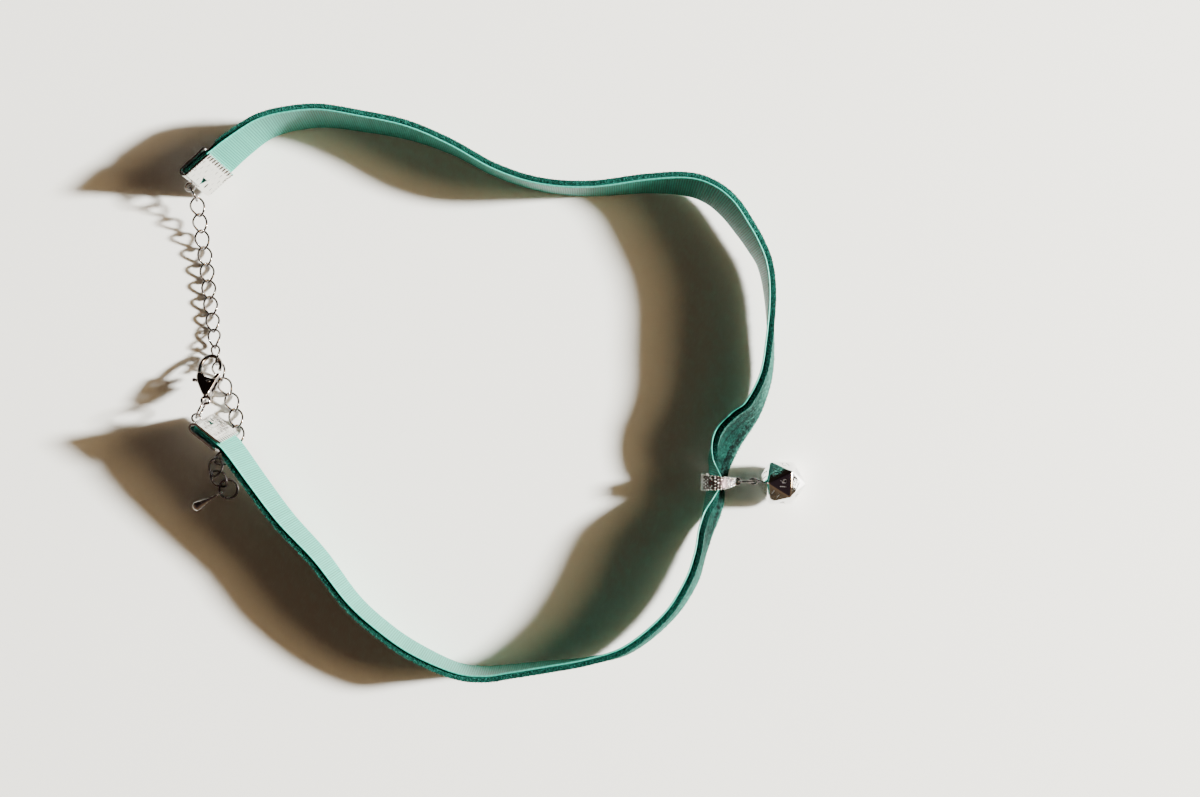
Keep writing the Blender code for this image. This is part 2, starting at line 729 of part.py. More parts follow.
def icosahedron():
    """The twelve unit points, the first at +Z, and the twenty triangles."""
    ring_height = 1 / math.sqrt(5)
    ring_out = 2 / math.sqrt(5)
    points = [Vector((0, 0, 1))]
    for k in range(10):
        turn = math.pi * k / 5
        height = ring_height if k % 2 == 0 else -ring_height
        points.append(Vector((ring_out * math.cos(turn), ring_out * math.sin(turn), height)))
    points.append(Vector((0, 0, -1)))
    faces = []
    for k in range(0, 10, 2):
        here, belt, following, last = 1 + k, 2 + k, 1 + (k + 2) % 10, 1 + (k + 9) % 10
        faces += [(0, here, following), (here, belt, following), (11, belt, last),
                  (here, last, belt)]
    return points, faces


def die_turn():
    """The turn that rests the die on a side face with its loop end low and facing DIE_HEADING."""
    points, faces = icosahedron()
    resting = (points[faces[1][0]] + points[faces[1][1]] + points[faces[1][2]]).normalized()
    down = resting.rotation_difference(Vector((0, 0, -1))).to_matrix()
    loop = down @ Vector((0, 0, 1))
    heading = math.radians(DIE_HEADING) - math.atan2(loop.y, loop.x)
    return Matrix.Rotation(heading, 3, "Z") @ down


def make_die(ring_wire_point, finish):
    """The charm, hung by its loop on the point where the jump ring's wire passes."""
    turn = die_turn()
    points, faces = icosahedron()
    loop_way = turn @ Vector((0, 0, 1))
    inradius = DIE_RADIUS * math.sqrt((5 + 2 * math.sqrt(5)) / 15)
    vertex_height = inradius + FLOOR_GAP + loop_way.z * DIE_RADIUS
    loop_centre = Vector((ring_wire_point.x - DIE_LOOP_WIRE / 2, ring_wire_point.y,
                          vertex_height))
    flat_way = Vector((loop_way.x, loop_way.y, 0)).normalized()
    vertex = loop_centre - flat_way * (DIE_LOOP_RADIUS - DIE_LOOP_BITE)
    centre = vertex - loop_way * DIE_RADIUS
    die = solid("die_charm", [centre + turn @ p * DIE_RADIUS for p in points], faces, finish, 0)
    soften = die.modifiers.new("edges", "BEVEL")
    soften.width = DIE_EDGE
    soften.segments = 1
    soften.limit_method = "NONE"
    tilt = math.radians(DIE_LOOP_TILT)
    over = Vector((0, math.cos(tilt), math.sin(tilt)))
    loop = ring("loop", loop_centre, flat_way, over, DIE_LOOP_RADIUS, DIE_LOOP_WIRE, finish,
                ROUND_SIDES)
    return combine(die, [loop], "UNION")


def make_teardrop(wire_point, finish):
    """A turned drop on its side, its small loop upright round the end ring's wire."""
    heading = math.radians(DROP_HEADING)
    away = Vector((math.cos(heading), math.sin(heading), 0))
    loop_centre = wire_point.copy()
    start = loop_centre + away * (DROP_LOOP_RADIUS - DROP_LOOP_WIRE / 4)
    fall = DROP_RADIUS + FLOOR_GAP - start.z
    axis = (away * DROP_LENGTH + Vector((0, 0, fall))).normalized()
    drop = turned("teardrop", start, axis, Vector((-away.y, away.x, 0)), DROP_PROFILE,
                  DROP_LENGTH, DROP_RADIUS, 10, finish)
    loop = ring("loop", loop_centre, away, Vector((0, 0, 1)), DROP_LOOP_RADIUS, DROP_LOOP_WIRE,
                finish, ROUND_SIDES)
    return combine(drop, [loop], "UNION")


def centre_on_floor():
    """Moves every piece so that the origin is the middle of the whole part's underside."""
    bpy.context.view_layer.update()
    corners = [o.matrix_world @ v.co for o in bpy.data.objects for v in o.data.vertices]
    low = [min(c[k] for c in corners) for k in range(3)]
    high = [max(c[k] for c in corners) for k in range(3)]
    shift = Matrix.Translation((-(low[0] + high[0]) / 2, -(low[1] + high[1]) / 2, -low[2]))
    for thing in bpy.data.objects:
        thing.data.transform(shift @ thing.matrix_world)
        thing.matrix_world = Matrix.Identity(4)


def main():
    clear_scene()
    velvet = material("velvet", (0.016, 0.080, 0.062), 0.9, 0.0)
    silver = material("silver", (0.80, 0.79, 0.78), 0.22, 1.0)
    polished = material("polished", (0.86, 0.86, 0.86), 0.08, 1.0)

    line = ribbon_line()
    make_ribbon(line, velvet)
    chain_end = end_frame(line, True)
    clasp_end = end_frame(line, False)
    chain_hang = Vector(CHAIN_HANG).normalized()
    clasp_hang = Vector(CLASP_HANG).normalized()
    make_crimp("crimp_chain_end", chain_end, chain_hang, silver)
    make_crimp("crimp_clasp_end", clasp_end, clasp_hang, silver)

    chain_hole = chain_end @ Vector((TAB_REACH, 0, 0))
    ring("chain_jump_ring", chain_hole + chain_hang * CHAIN_RING_RADIUS, chain_hang,
         hole_axis(chain_end, chain_hang), CHAIN_RING_RADIUS, RING_WIRE, silver)
    to_joint = 2 * CHAIN_RING_RADIUS - past_joint(LINK_PITCH) - CHAIN_START_GAP
    joints = chain_joints(chain_hole + chain_hang * to_joint)
    for number in range(1, LINK_COUNT + 1):
        make_link(number, joints[number - 1], joints[number], silver)

    heading = math.radians(END_RING_HEADING)
    last_way = Vector((math.cos(heading), math.sin(heading), 0))
    drop_way = Vector((math.cos(math.radians(DROP_HEADING)),
                       math.sin(math.radians(DROP_HEADING)), 0))
    end_centre = joints[-1] + last_way * (END_RING_RADIUS - past_joint(SLACK_PITCH))
    ring("end_jump_ring", end_centre, last_way, drop_way, END_RING_RADIUS, RING_WIRE, silver)
    make_teardrop(end_centre + drop_way * END_RING_RADIUS, silver)

    frame = clasp_frame()
    ring("clasp_jump_ring", clasp_hole() + clasp_hang * CLASP_RING_RADIUS, clasp_hang,
         hole_axis(clasp_end, clasp_hang), CLASP_RING_RADIUS, CLASP_RING_WIRE, silver)
    make_clasp_body(frame, silver)
    make_clasp_lever(frame, silver)

    seat = station(RIBBON_STATIONS[BAIL_STATION])
    eye_centre = make_bail(Vector((seat[0], seat[1], 0)), silver)
    ring_middle = eye_centre + Vector((BAIL_RING_RADIUS, 0, 0))
    ring("bail_ring", ring_middle, Vector((1, 0, 0)), Vector((0, 0, 1)), BAIL_RING_RADIUS,
         RING_WIRE, silver)
    make_die(ring_middle + Vector((BAIL_RING_RADIUS, 0, 0)), polished)
    centre_on_floor()


main()
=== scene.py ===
"""Looks of the velvet choker: ribbed and piled ribbon, plated findings and a polished charm.

Pieces are built in the same coordinates as the part's source, from the loop's left and lower
corner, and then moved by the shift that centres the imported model. Units are metres.
"""

import math
import random

import bmesh
import bpy
from mathutils import Matrix, Vector, noise


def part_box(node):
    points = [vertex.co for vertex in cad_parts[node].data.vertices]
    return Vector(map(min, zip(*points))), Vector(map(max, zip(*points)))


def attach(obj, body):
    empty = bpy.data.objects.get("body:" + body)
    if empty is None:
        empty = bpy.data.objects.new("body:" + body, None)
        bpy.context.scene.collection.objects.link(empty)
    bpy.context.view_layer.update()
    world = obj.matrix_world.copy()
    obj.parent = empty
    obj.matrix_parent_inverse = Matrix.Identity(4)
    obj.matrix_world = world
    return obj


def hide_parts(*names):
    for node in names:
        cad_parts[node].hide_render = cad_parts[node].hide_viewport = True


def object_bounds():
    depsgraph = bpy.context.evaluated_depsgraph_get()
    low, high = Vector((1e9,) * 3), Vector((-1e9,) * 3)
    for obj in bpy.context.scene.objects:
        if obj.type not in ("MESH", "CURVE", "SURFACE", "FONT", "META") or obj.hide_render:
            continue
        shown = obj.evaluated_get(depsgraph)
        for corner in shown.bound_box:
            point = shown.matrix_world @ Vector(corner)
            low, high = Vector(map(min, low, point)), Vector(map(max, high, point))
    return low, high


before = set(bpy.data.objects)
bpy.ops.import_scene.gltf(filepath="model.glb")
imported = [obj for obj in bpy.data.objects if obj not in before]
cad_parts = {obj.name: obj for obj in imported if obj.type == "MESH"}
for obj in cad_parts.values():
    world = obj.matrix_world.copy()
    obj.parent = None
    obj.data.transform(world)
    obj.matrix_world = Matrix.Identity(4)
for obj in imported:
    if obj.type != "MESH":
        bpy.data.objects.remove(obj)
cad_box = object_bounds()

UP = Vector((0, 0, 1))

# The photograph: a camera straight above, whose middle looks at this point of the loop.
CAMERA_AT = (0.0785, 0.0535)
CAMERA_HEIGHT = 0.333
LENS = 50.0
FLOOR_REACH = 4.0
FLOOR_THICK = 0.03

# Ribbon, as in the part's source
LOOP_LENGTH = 0.112
LOOP_BREADTH = 0.1075
RIBBON_WIDTH = 0.010
RIBBON_THICK = 0.0015
RIBBON_CRUSHED = 0.0009
CRUSH_RUN = 0.003
CUP_FROM = 0.20
CUP_TO = 0.90
CUP_MEAN = 0.52
CURVE_STEP = 0.06
COARSE_STEP = 0.0034
FLOOR_GAP = 0.00005
RIBBON_COLUMNS = ("across", "along", "lean", "cup", "lift")
RIBBON_STATIONS = (
    (0.007, 0.880, 21, 0, 0.075),
    (0.041, 0.912, 21, 0, 0.070),
    (0.084, 0.953, 17, 0, 0.035),
    (0.118, 0.980, 14, 0, 0.010),
    (0.159, 0.994, 12, 0, 0.000),
    (0.213, 1.000, 11, 0, 0.000),
    (0.280, 0.992, 9, 0, 0.000),
    (0.361, 0.977, 7, 0, 0.000),
    (0.437, 0.950, 3, 0, 0.000),
    (0.517, 0.908, 1, 0, 0.000),
    (0.596, 0.882, 1, 0, 0.000),
    (0.684, 0.873, 3, 0, 0.000),
    (0.784, 0.878, 8, 0, 0.030),
    (0.848, 0.873, 13, 0, 0.070),
    (0.885, 0.860, 14, 0, 0.110),
    (0.914, 0.836, 14, 0, 0.140),
    (0.941, 0.802, 11, 0, 0.160),
    (0.963, 0.770, 8, 0, 0.170),
    (0.981, 0.737, 4, 0, 0.170),
    (0.992, 0.683, 0, 0, 0.160),
    (0.998, 0.603, -8, 0, 0.140),
    (0.995, 0.538, -13, 0, 0.110),
    (0.979, 0.480, -20, 2, 0.080),
    (0.963, 0.446, -30, 12, 0.065),
    (0.946, 0.412, -35, 40, 0.065),
    (0.934, 0.379, -26, 82, 0.080),
    (0.925, 0.346, -3, 116, 0.095),
    (0.918, 0.315, -9, 88, 0.080),
    (0.907, 0.284, -16, 42, 0.085),
    (0.893, 0.256, -15, 14, 0.130),
    (0.878, 0.214, -11, 0, 0.180),
    (0.862, 0.160, -13, 0, 0.225),
    (0.821, 0.098, -12, 0, 0.240),
    (0.751, 0.040, -11, 0, 0.225),
    (0.681, 0.021, -7, 0, 0.185),
    (0.610, 0.013, -3, 0, 0.130),
    (0.545, 0.006, 0, 0, 0.075),
    (0.497, 0.002, 2, 0, 0.035),
    (0.449, 0.008, 2, 0, 0.010),
    (0.381, 0.042, 4, 0, 0.000),
    (0.327, 0.080, 4, 0, 0.000),
    (0.272, 0.133, 5, 0, 0.000),
    (0.215, 0.214, 7, 0, 0.010),
    (0.157, 0.284, 9, 0, 0.070),
    (0.110, 0.353, 10, 0, 0.160),
    (0.071, 0.412, 11, 0, 0.205),
    (0.049, 0.436, 12, 0, 0.215),
    (0.017, 0.463, 12, 0, 0.220),
)
BAIL_STATION = 26

# The ribbon's weave
LINE_STEPS = 40
RIB_PITCH = 0.00046
RIB_STEPS = 4
RIB_DEPTH = 0.00003
# Painted light on the ribs' crests and painted shade in their grooves, then a tone that wanders
# at random
RIB_PAINTED_SHADE = 0.42
WANDER_TONE = 0.12
SELVEDGE_FROM, SELVEDGE_FADE = 0.00024, 0.00020
BACK_PALE, BACK_DASH = 0.35, 0.4
EDGE_PALE, EDGE_DASH = 0.75, 0.25

# The pile's face and its edge tufts, with heights as shares of the ribbon's width
PILE_STEP = 0.00030
PILE_ROWS = 30
PILE_FOOT = 0.035
PILE_TALL = 0.93
PILE_OUT = 0.955
PILE_ROUGH = 0.00009
PILE_SWELL = 0.00004
PILE_INTO_CRIMP = 0.94
PILE_CRUSHED = 0.3
TUFT_STEP = 0.00021
TUFT_DEPTHS = (0.46, 0.62, 0.78, 0.93)
TUFT_INSET = 0.045
TUFT_TALL = (0.00030, 0.00058)
TUFT_WIDE = (0.00007, 0.00012)
TUFT_ROOT = 0.0001
TUFT_SHIFT = (-0.05, 0.05)
TUFT_STRAY = (-0.00008, 0.00008)
TUFT_OUT = (-0.1, 0.45)
TUFT_ALONG = (-0.4, 0.4)
TUFT_LEAN = 0.8
# The tufts' painted sheen: a random tone, lower where crushed, with painted shade by the bail
TUFT_TONE = (0.40, 1.0)
TUFT_CRUSHED, TUFT_DULLED, TUFT_SHADED = 0.45, 0.35, 0.75

# Noise on the ribbon: how often it changes along the ribbon and up it, and its seed
WANDER_NOISE = (900, 0, 0)
EDGE_NOISE = (2400, 24, 1.0)
STREAK_NOISE = (130, 5, 2.0)
FACE_NOISE = (2600, 26, 3.0)
MOTTLE_NOISE = (1500, 15, 5.0)
SWELL_NOISE = (300, 3, 9.0)

# How far from the bail the pile lies pressed, is pinched, and gets painted shade on its edge
PRESSED_FROM, PRESSED_FADE = 0.008, 0.018
PINCHED_FROM, PINCHED_FADE = 0.0010, 0.005
SHADED_FROM, SHADED_FADE = 0.010, 0.028

# The painted sheen on the pile, from 0, painted shade, to 1, pale. Where pressed it shows a pale
# top band and a lower rim.
EDGE_PAINTED_SHEEN, EDGE_SHADE, EDGE_WANDER = 0.55, 0.45, 0.15
LOOSE_PAINTED_SHEEN, LOOSE_FALL, LOOSE_STREAK = 0.22, 0.22, 0.30
FALL_FROM, FALL_FADE = 0.25, 0.55
BAND_PAINTED_SHEEN, BAND_FROM, BAND_FADE = 0.26, 0.79, 0.10
RIM_PAINTED_SHEEN, RIM_FADE, RIM_PINCHED = 0.40, 0.16, 0.7
MOTTLE, MOTTLE_PRESSED = 0.24, 0.08

# The ribbon's section: height as a share of its width, depth as a share of its thickness, and
# what shows there. It runs up the back, over the top edge, down the pile and under.
BACK, LINE, GROOVE, PILE = 0, 1, 2, 3
SECTION = (
    (0.012, 0.00, BACK), (0.035, 0.00, BACK), (0.068, 0.00, BACK), (0.14, 0.00, BACK),
    (0.30, 0.00, BACK), (0.50, 0.00, BACK), (0.70, 0.00, BACK), (0.86, 0.00, BACK),
    (0.932, 0.00, BACK), (0.970, 0.00, BACK), (0.992, 0.00, LINE), (1.000, 0.05, LINE),
    (1.000, 0.14, LINE), (0.985, 0.20, GROOVE), (0.955, 0.28, GROOVE), (0.950, 0.50, GROOVE),
    (0.965, 0.80, PILE), (0.960, 0.93, PILE), (0.80, 0.93, PILE), (0.50, 0.93, PILE),
    (0.20, 0.93, PILE), (0.040, 0.93, PILE), (0.035, 0.80, GROOVE), (0.055, 0.62, GROOVE),
    (0.050, 0.40, GROOVE), (0.015, 0.30, LINE), (0.000, 0.22, LINE), (0.000, 0.06, LINE),
)

# Findings, as in the part's source
CRIMP_LENGTH = 0.0066
CRIMP_PLATE = 0.0004
CRIMP_GAP = 0.00022
CRIMP_OVERHANG = 0.0001
CRIMP_WINDOW = 0.0017
CRIMP_WALL = 0.0009
TAB_RADIUS = 0.00105
TAB_HOLE = 0.00062
TAB_REACH = 0.0007
LINK_COUNT = 19
LINK_LENGTH = 0.00425
LINK_WIDTH = 0.0031
LINK_WIRE = 0.00042
LINK_PITCH = 0.00332
SLACK_PITCH = 0.0028
SLACK_HEADINGS = (-120.0, -160.0, -102.0, -45.0)
LINK_TWIST = 45.0
HELD_LINK = 10
HELD_ROLL = 58.0
ROLL_FADE = 1.3
ROUTE_STEPS = 60
CHAIN_RING_RADIUS = 0.00155
CHAIN_HANG = (0.29, -0.79, -0.54)
CHAIN_START_GAP = 0.0001
BAIL_RING_RADIUS = 0.0017
END_RING_RADIUS = 0.00185
END_RING_HEADING = -50.0
CLASP_RING_RADIUS = 0.00195
RING_WIRE = 0.0005
CLASP_RING_WIRE = 0.00042
CHAIN_ROUTE = (
    (-0.0009, 0.0900, 0.0030),
    (-0.0008, 0.0867, 0.0019),
    (-0.0004, 0.0834, 0.00115),
    (0.0001, 0.0800, 0.00085),
    (0.0007, 0.0736, 0.00079),
    (0.0014, 0.0685, 0.00085),
    (0.0018, 0.0652, 0.00135),
    (0.0022, 0.0622, 0.00185),
    (0.0024, 0.0602, 0.00160),
    (0.0032, 0.0571, 0.00105),
    (0.0048, 0.0541, 0.00086),
    (0.0058, 0.0510, 0.00080),
    (0.0062, 0.0477, 0.00079),
    (0.0062, 0.0445, 0.00079),
    (0.0057, 0.0415, 0.00079),
)
CLASP_THICK = 0.0022
CLASP_SLOPE = 28.9
CLASP_HEADING = 91.6
CLASP_HANG = (0.43, 0.88, -0.20)
HOOK_TOP = 0.955
HOOK_TOP_AT = (0.00103, 0.06192, 0.00161)
EYE_RADIUS = 0.00082
EYE_WIRE = 0.0006
HOOK_WIRE = 0.00094
HOOK_TIP_WIRE = 0.0007
LEVER_THICK = 0.0008
LEVER_PLAY = 0.0001
LEVER_HUB = 0.00075
LEVER_ARM = 0.0007
LEVER_STEM = 0.00055
KNOB_RADIUS = 0.00043
PIN_RADIUS = 0.00028
PIN_HEAD = 1.25
PIN_PROUD = 0.00006
PIN_ROUND = 0.00008
LEVER_ROUND = 0.00014
CLASP_ROUND = 0.0005
CLASP_LENGTH = 0.0105
CLASP_BODY = (
    (-0.045, 0.085), (0.045, 0.085), (0.105, 0.205), (0.160, 0.335), (0.172, 0.410),
    (0.060, 0.430), (-0.035, 0.475), (-0.088, 0.550), (-0.190, 0.550), (-0.185, 0.400),
    (-0.120, 0.230),
)
CLASP_SLOT = (
    (-0.32, 0.175), (0.32, 0.175), (0.32, 0.65), (-0.07, 0.65), (-0.07, 0.492), (-0.32, 0.492),
)
CLASP_HOOK = (
    (-0.138, 0.500), (-0.160, 0.570), (-0.174, 0.650), (-0.170, 0.745), (-0.130, 0.850),
    (-0.055, 0.930), (0.035, 0.955), (0.125, 0.920), (0.190, 0.835), (0.215, 0.735),
    (0.205, 0.645),
)
PIVOT = (0.034, 0.348)
LEVER_TIP = (0.205, 0.560)
KNOB = (-0.262, 0.448)
BAIL_REACH = 0.0063
BAIL_HEIGHT = 0.0090
BAIL_BAND = 0.0006
BAIL_WIDE = 0.0033
BAIL_NARROW = 0.0013
BAIL_EYE_RADIUS = 0.00062
BAIL_EYE_WIRE = 0.00048
BAIL_SEAT_OUT = 0.77
BAIL_SEAT_ALONG = -0.0001
BAIL_PROFILE = (
    (1.00, 0.27, 0.00), (0.95, 0.46, 0.10), (0.80, 0.78, 0.34), (0.51, 0.99, 0.66),
    (0.13, 0.84, 0.95), (0.00, 0.52, 1.00), (0.08, 0.24, 0.92), (0.33, 0.08, 0.62),
    (0.66, 0.005, 0.34), (0.90, 0.05, 0.10),
)
DIE_RADIUS = 0.005
DIE_ROUND = 0.00030
DIE_HEADING = 177.4
DIE_LOOP_RADIUS = 0.00088
DIE_LOOP_WIRE = 0.00044
DIE_LOOP_TILT = 50.0
DIE_LOOP_BITE = 0.00035
NUMERAL_TALL = 0.0021
NUMERAL_DEPTH = 0.00016
NUMERAL_DROP = 0.0001
DROP_LENGTH = 0.0057
DROP_RADIUS = 0.00115
DROP_LOOP_RADIUS = 0.00062
DROP_LOOP_WIRE = 0.0004
DROP_HEADING = 209.0
DROP_PROFILE = (
    (0.00, 0.20), (0.18, 0.26), (0.36, 0.42), (0.54, 0.66), (0.70, 0.90), (0.82, 1.00),
    (0.92, 0.82), (0.98, 0.42),
)
KNOB_PROFILE = ((0.02, 0.28), (0.20, 0.80), (0.50, 1.00), (0.80, 0.80), (0.98, 0.28))

# Fineness of the visual pieces
WIRE_SIDES = 12
RING_SIDES = 48
RING_SPLIT = 0.03
LINK_SIDES = 40

# The bail's beaded edges and granulated field
BAIL_STEPS = 10
BAIL_SECTION = (
    (0.62, -0.80), (0.62, 0.80), (0.95, 0.88), (0.7, 1.0), (-0.7, 1.0), (-1.0, 0.85),
    (-1.0, -0.85), (-0.7, -1.0), (0.7, -1.0), (0.95, -0.88),
)
BEAD_PITCH = 0.00058
BEAD_SEAT = 0.85
BEAD_RADIUS = 0.00020
BEAD_INSET = 0.00016
GRANULE_PITCH = 0.00062
GRANULE_ROW = 0.87
GRANULE_SEAT = 0.70
GRANULE_RADIUS = (0.00016, 0.00026)
FIELD_MARGIN = 0.0004

# The bail's two diamonds: how far each is from the band's far side, and their size
DIAMONDS_AT = (0.0015, 0.0034)
DIAMOND_LONG = 0.0015
DIAMOND_WIDE = 0.0012
DIAMOND_SEAT = 0.75

# The bricks pressed into the crimps' plates, their beaded rims and the teeth at their mouths
BRICK_TALL = 0.0011
BRICK_LONG = 0.0018
BRICK_STEP = 0.00007
BRICK_GROOVE = 0.00006
GROOVE_WIDE = 0.00020
BRICKS_FROM, BRICKS_FADE = 0.0004, 0.0002
CRIMP_RIM_PITCH = 0.00062
CRIMP_RIM_TALL = 0.00010
CRIMP_RIM_IN = 0.00022
CRIMP_RIM_WIDE = 0.00014
TEETH_PITCH = 0.00105
TEETH_TALL = 0.00010
TEETH_CUT = 0.00018
TEETH_FROM, TEETH_FADE = 0.0011, 0.0005
WINDOW_REACH = 0.003
CRIMP_COLUMNS = 120
CRIMP_ROWS = 64
CRIMP_BEND_ROWS = 10


# Small tools

def clamp(x):
    return max(0.0, min(1.0, x))


def smoothstep(x):
    t = clamp(x)
    return t * t * (3 - 2 * t)


def smooth_between(points, i, t):
    """A point of the smooth curve through points, t of the way from point i to the next."""
    p = [points[max(0, min(len(points) - 1, i + k))] for k in (-1, 0, 1, 2)]
    if i == 0:
        p[0] = p[1] * 2 - p[2]
    if i + 2 >= len(points):
        p[3] = p[2] * 2 - p[1]
    rise = p[2] - p[0]
    bend = p[0] * 2 - p[1] * 5 + p[2] * 4 - p[3]
    twist = p[1] * 3 - p[0] - p[2] * 3 + p[3]
    return p[1] + (rise * t + bend * t * t + twist * t * t * t) * 0.5


def smooth_line(rows, steps):
    """A smooth open line through rows, with as many steps between each two."""
    line = [smooth_between(rows, i, k / steps) for i in range(len(rows) - 1)
            for k in range(steps)]
    return line + [rows[-1]]


def smooth_loop(rows, steps):
    closed = rows[-2:] + rows + rows[:3]
    return [smooth_between(closed, i + 2, k / steps) for i in range(len(rows))
            for k in range(steps)]


def level_way(degrees):
    turn = math.radians(degrees)
    return Vector((math.cos(turn), math.sin(turn), 0))


def placed_way(place, x, y, z):
    return place.to_3x3() @ Vector((x, y, z))


def frame_at(x_way, y_way, z_way, origin):
    place = Matrix((x_way, y_way, z_way)).transposed().to_4x4()
    place.translation = origin
    return place


def new_object(name, data):
    made = bpy.data.objects.new(name, data)
    bpy.context.collection.objects.link(made)
    return made


def shade(mesh, angle):
    mesh.shade_smooth()
    mesh.set_sharp_from_angle(angle=math.radians(angle))


def new_mesh(name, vertices, faces, finishes):
    mesh = bpy.data.meshes.new(name)
    mesh.from_pydata([tuple(v) for v in vertices], [], faces)
    for finish in finishes:
        mesh.materials.append(finish)
    return mesh


def mesh_object(name, vertices, faces, finishes, smooth=40.0, slots=None):
    """An object from points and faces; slots gives each face's material number."""
    mesh = new_mesh(name, vertices, faces, finishes)
    if slots:
        mesh.polygons.foreach_set("material_index", slots)
    shape = bmesh.new()
    shape.from_mesh(mesh)
    bmesh.ops.recalc_face_normals(shape, faces=shape.faces)
    shape.to_mesh(mesh)
    shape.free()
    if smooth:
        shade(mesh, smooth)
    return new_object(name, mesh)


def grid_faces(rows, columns, close_rows, close_columns):
    faces = []
    for i in range(rows if close_rows else rows - 1):
        for j in range(columns if close_columns else columns - 1):
            a = i * columns + j
            b = i * columns + (j + 1) % columns
            c = (i + 1) % rows * columns + (j + 1) % columns
            d = (i + 1) % rows * columns + j
            faces.append((a, b, c, d))
    return faces


def end_faces(sides, total):
    """The first and the last row of points as faces that close a bar's ends."""
    return [tuple(range(sides)), tuple(range(total - sides, total))]


def tube(points, ups, radii, sides, closed):
    """The points and faces of a round bar along a line."""
    vertices = []
    count = len(points)
    for i, point in enumerate(points):
        before = points[(i - 1) % count] if closed else points[max(i - 1, 0)]
        after = points[(i + 1) % count] if closed else points[min(i + 1, count - 1)]
        tangent = (after - before).normalized()
        side = tangent.cross(ups[i]).normalized()
        up = side.cross(tangent)
        for j in range(sides):
            turn = 2 * math.pi * j / sides
            vertices.append(point + (side * math.cos(turn) + up * math.sin(turn)) * radii[i])
    faces = grid_faces(count, sides, closed, True)
    if not closed:
        faces += end_faces(sides, len(vertices))
    return vertices, faces


def ring(name, centre, across, over, radius, wire, finish, split=0.0):
    """A round ring; a jump ring has a fine split where its ends meet."""
    first = across.normalized()
    second = (over - first * over.dot(first)).normalized()
    gap = RING_SPLIT if split else 0.0
    points = []
    for i in range(RING_SIDES + (1 if split else 0)):
        turn = split + gap + (2 * math.pi - 2 * gap) * i / RING_SIDES
        points.append(centre + (first * math.cos(turn) + second * math.sin(turn)) * radius)
    count = len(points)
    shape = tube(points, [first.cross(second)] * count, [wire / 2] * count, WIRE_SIDES,
                 not split)
    return mesh_object(name, *shape, [finish])


def prism(name, outline, low, high, place, finish):
    count = len(outline)
    vertices = [place @ Vector((x, y, z)) for z in (low, high) for x, y in outline]
    faces = grid_faces(2, count, False, True) + end_faces(count, 2 * count)
    return mesh_object(name, vertices, faces, [finish] if finish else [], 0)


def turned(name, start, axis, side, profile, length, radius, sides, finish):
    """A turned solid whose profile is smoothed between its rows."""
    over = axis.cross(side).normalized()
    across = over.cross(axis)
    fine = smooth_line([Vector(p) for p in profile], 4)
    vertices = []
    for along, out in fine:
        for j in range(sides):
            turn = 2 * math.pi * j / sides
            spoke = across * math.cos(turn) + over * math.sin(turn)
            vertices.append(start + axis * length * along + spoke * radius * out)
    faces = grid_faces(len(fine), sides, False, True) + end_faces(sides, len(vertices))
    return mesh_object(name, vertices, faces, [finish], 50)


def circle(x, y, radius, sides):
    turns = [2 * math.pi * (i + 0.5) / sides for i in range(sides)]
    return [(x + radius * math.cos(t), y + radius * math.sin(t)) for t in turns]


def cut(base, cutter, finishes="INDEX"):
    change = base.modifiers.new("cut", "BOOLEAN")
    change.operation = "DIFFERENCE"
    change.solver = "EXACT"
    change.material_mode = finishes
    change.object = cutter
    apply_modifiers(base)
    bpy.data.objects.remove(cutter, do_unlink=True)


def apply_modifiers(thing):
    graph = bpy.context.evaluated_depsgraph_get()
    mesh = bpy.data.meshes.new_from_object(thing.evaluated_get(graph))
    thing.modifiers.clear()
    thing.data = mesh


def soften(thing, width, segments, angle=30.0):
    change = thing.modifiers.new("soften", "BEVEL")
    change.width = width
    change.segments = segments
    change.limit_method = "ANGLE"
    change.angle_limit = math.radians(angle)
    apply_modifiers(thing)
    shade(thing.data, 40)


def join(name, things):
    """One object from several that touch, keeping their materials."""
    shape = bmesh.new()
    finishes = []
    for thing in things:
        numbers = []
        for finish in thing.data.materials:
            if finish not in finishes:
                finishes.append(finish)
            numbers.append(finishes.index(finish))
        first = len(shape.faces)
        shape.from_mesh(thing.data)
        shape.faces.ensure_lookup_table()
        for face in shape.faces[first:]:
            face.material_index = numbers[face.material_index] if numbers else 0
    mesh = bpy.data.meshes.new(name)
    shape.to_mesh(mesh)
    shape.free()
    for finish in finishes:
        mesh.materials.append(finish)
    for thing in things:
        bpy.data.objects.remove(thing, do_unlink=True)
    return new_object(name, mesh)


# Materials

def new_material(name, colour, roughness, metallic):
    made = bpy.data.materials.new(name)
    made.use_nodes = True
    shader = made.node_tree.nodes["Principled BSDF"]
    shader.inputs["Base Color"].default_value = (*colour, 1.0)
    shader.inputs["Roughness"].default_value = roughness
    shader.inputs["Metallic"].default_value = metallic
    made.diffuse_color = (*colour, 1.0)
    return made, made.node_tree.nodes, made.node_tree.links, shader


def noise_node(nodes, links, scale, detail=2.0):
    place = nodes.new("ShaderNodeTexCoord")
    made = nodes.new("ShaderNodeTexNoise")
    made.inputs["Scale"].default_value = scale
    made.inputs["Detail"].default_value = detail
    links.new(place.outputs["Object"], made.inputs["Vector"])
    return made.outputs["Fac"]


def ramp(nodes, links, source, stops):
    made = nodes.new("ShaderNodeValToRGB")
    ends = made.color_ramp.elements
    for element, (position, colour) in ((ends[0], stops[0]), (ends[1], stops[-1])):
        element.position = position
        element.color = (*colour, 1)
    for position, colour in stops[1:-1]:
        ends.new(position).color = (*colour, 1)
    links.new(source, made.inputs["Fac"])
    return made.outputs["Color"]


def bump(nodes, links, source, shader, distance, strength):
    made = nodes.new("ShaderNodeBump")
    made.inputs["Distance"].default_value = distance
    made.inputs["Strength"].default_value = strength
    links.new(source, made.inputs["Height"])
    links.new(made.outputs["Normal"], shader.inputs["Normal"])


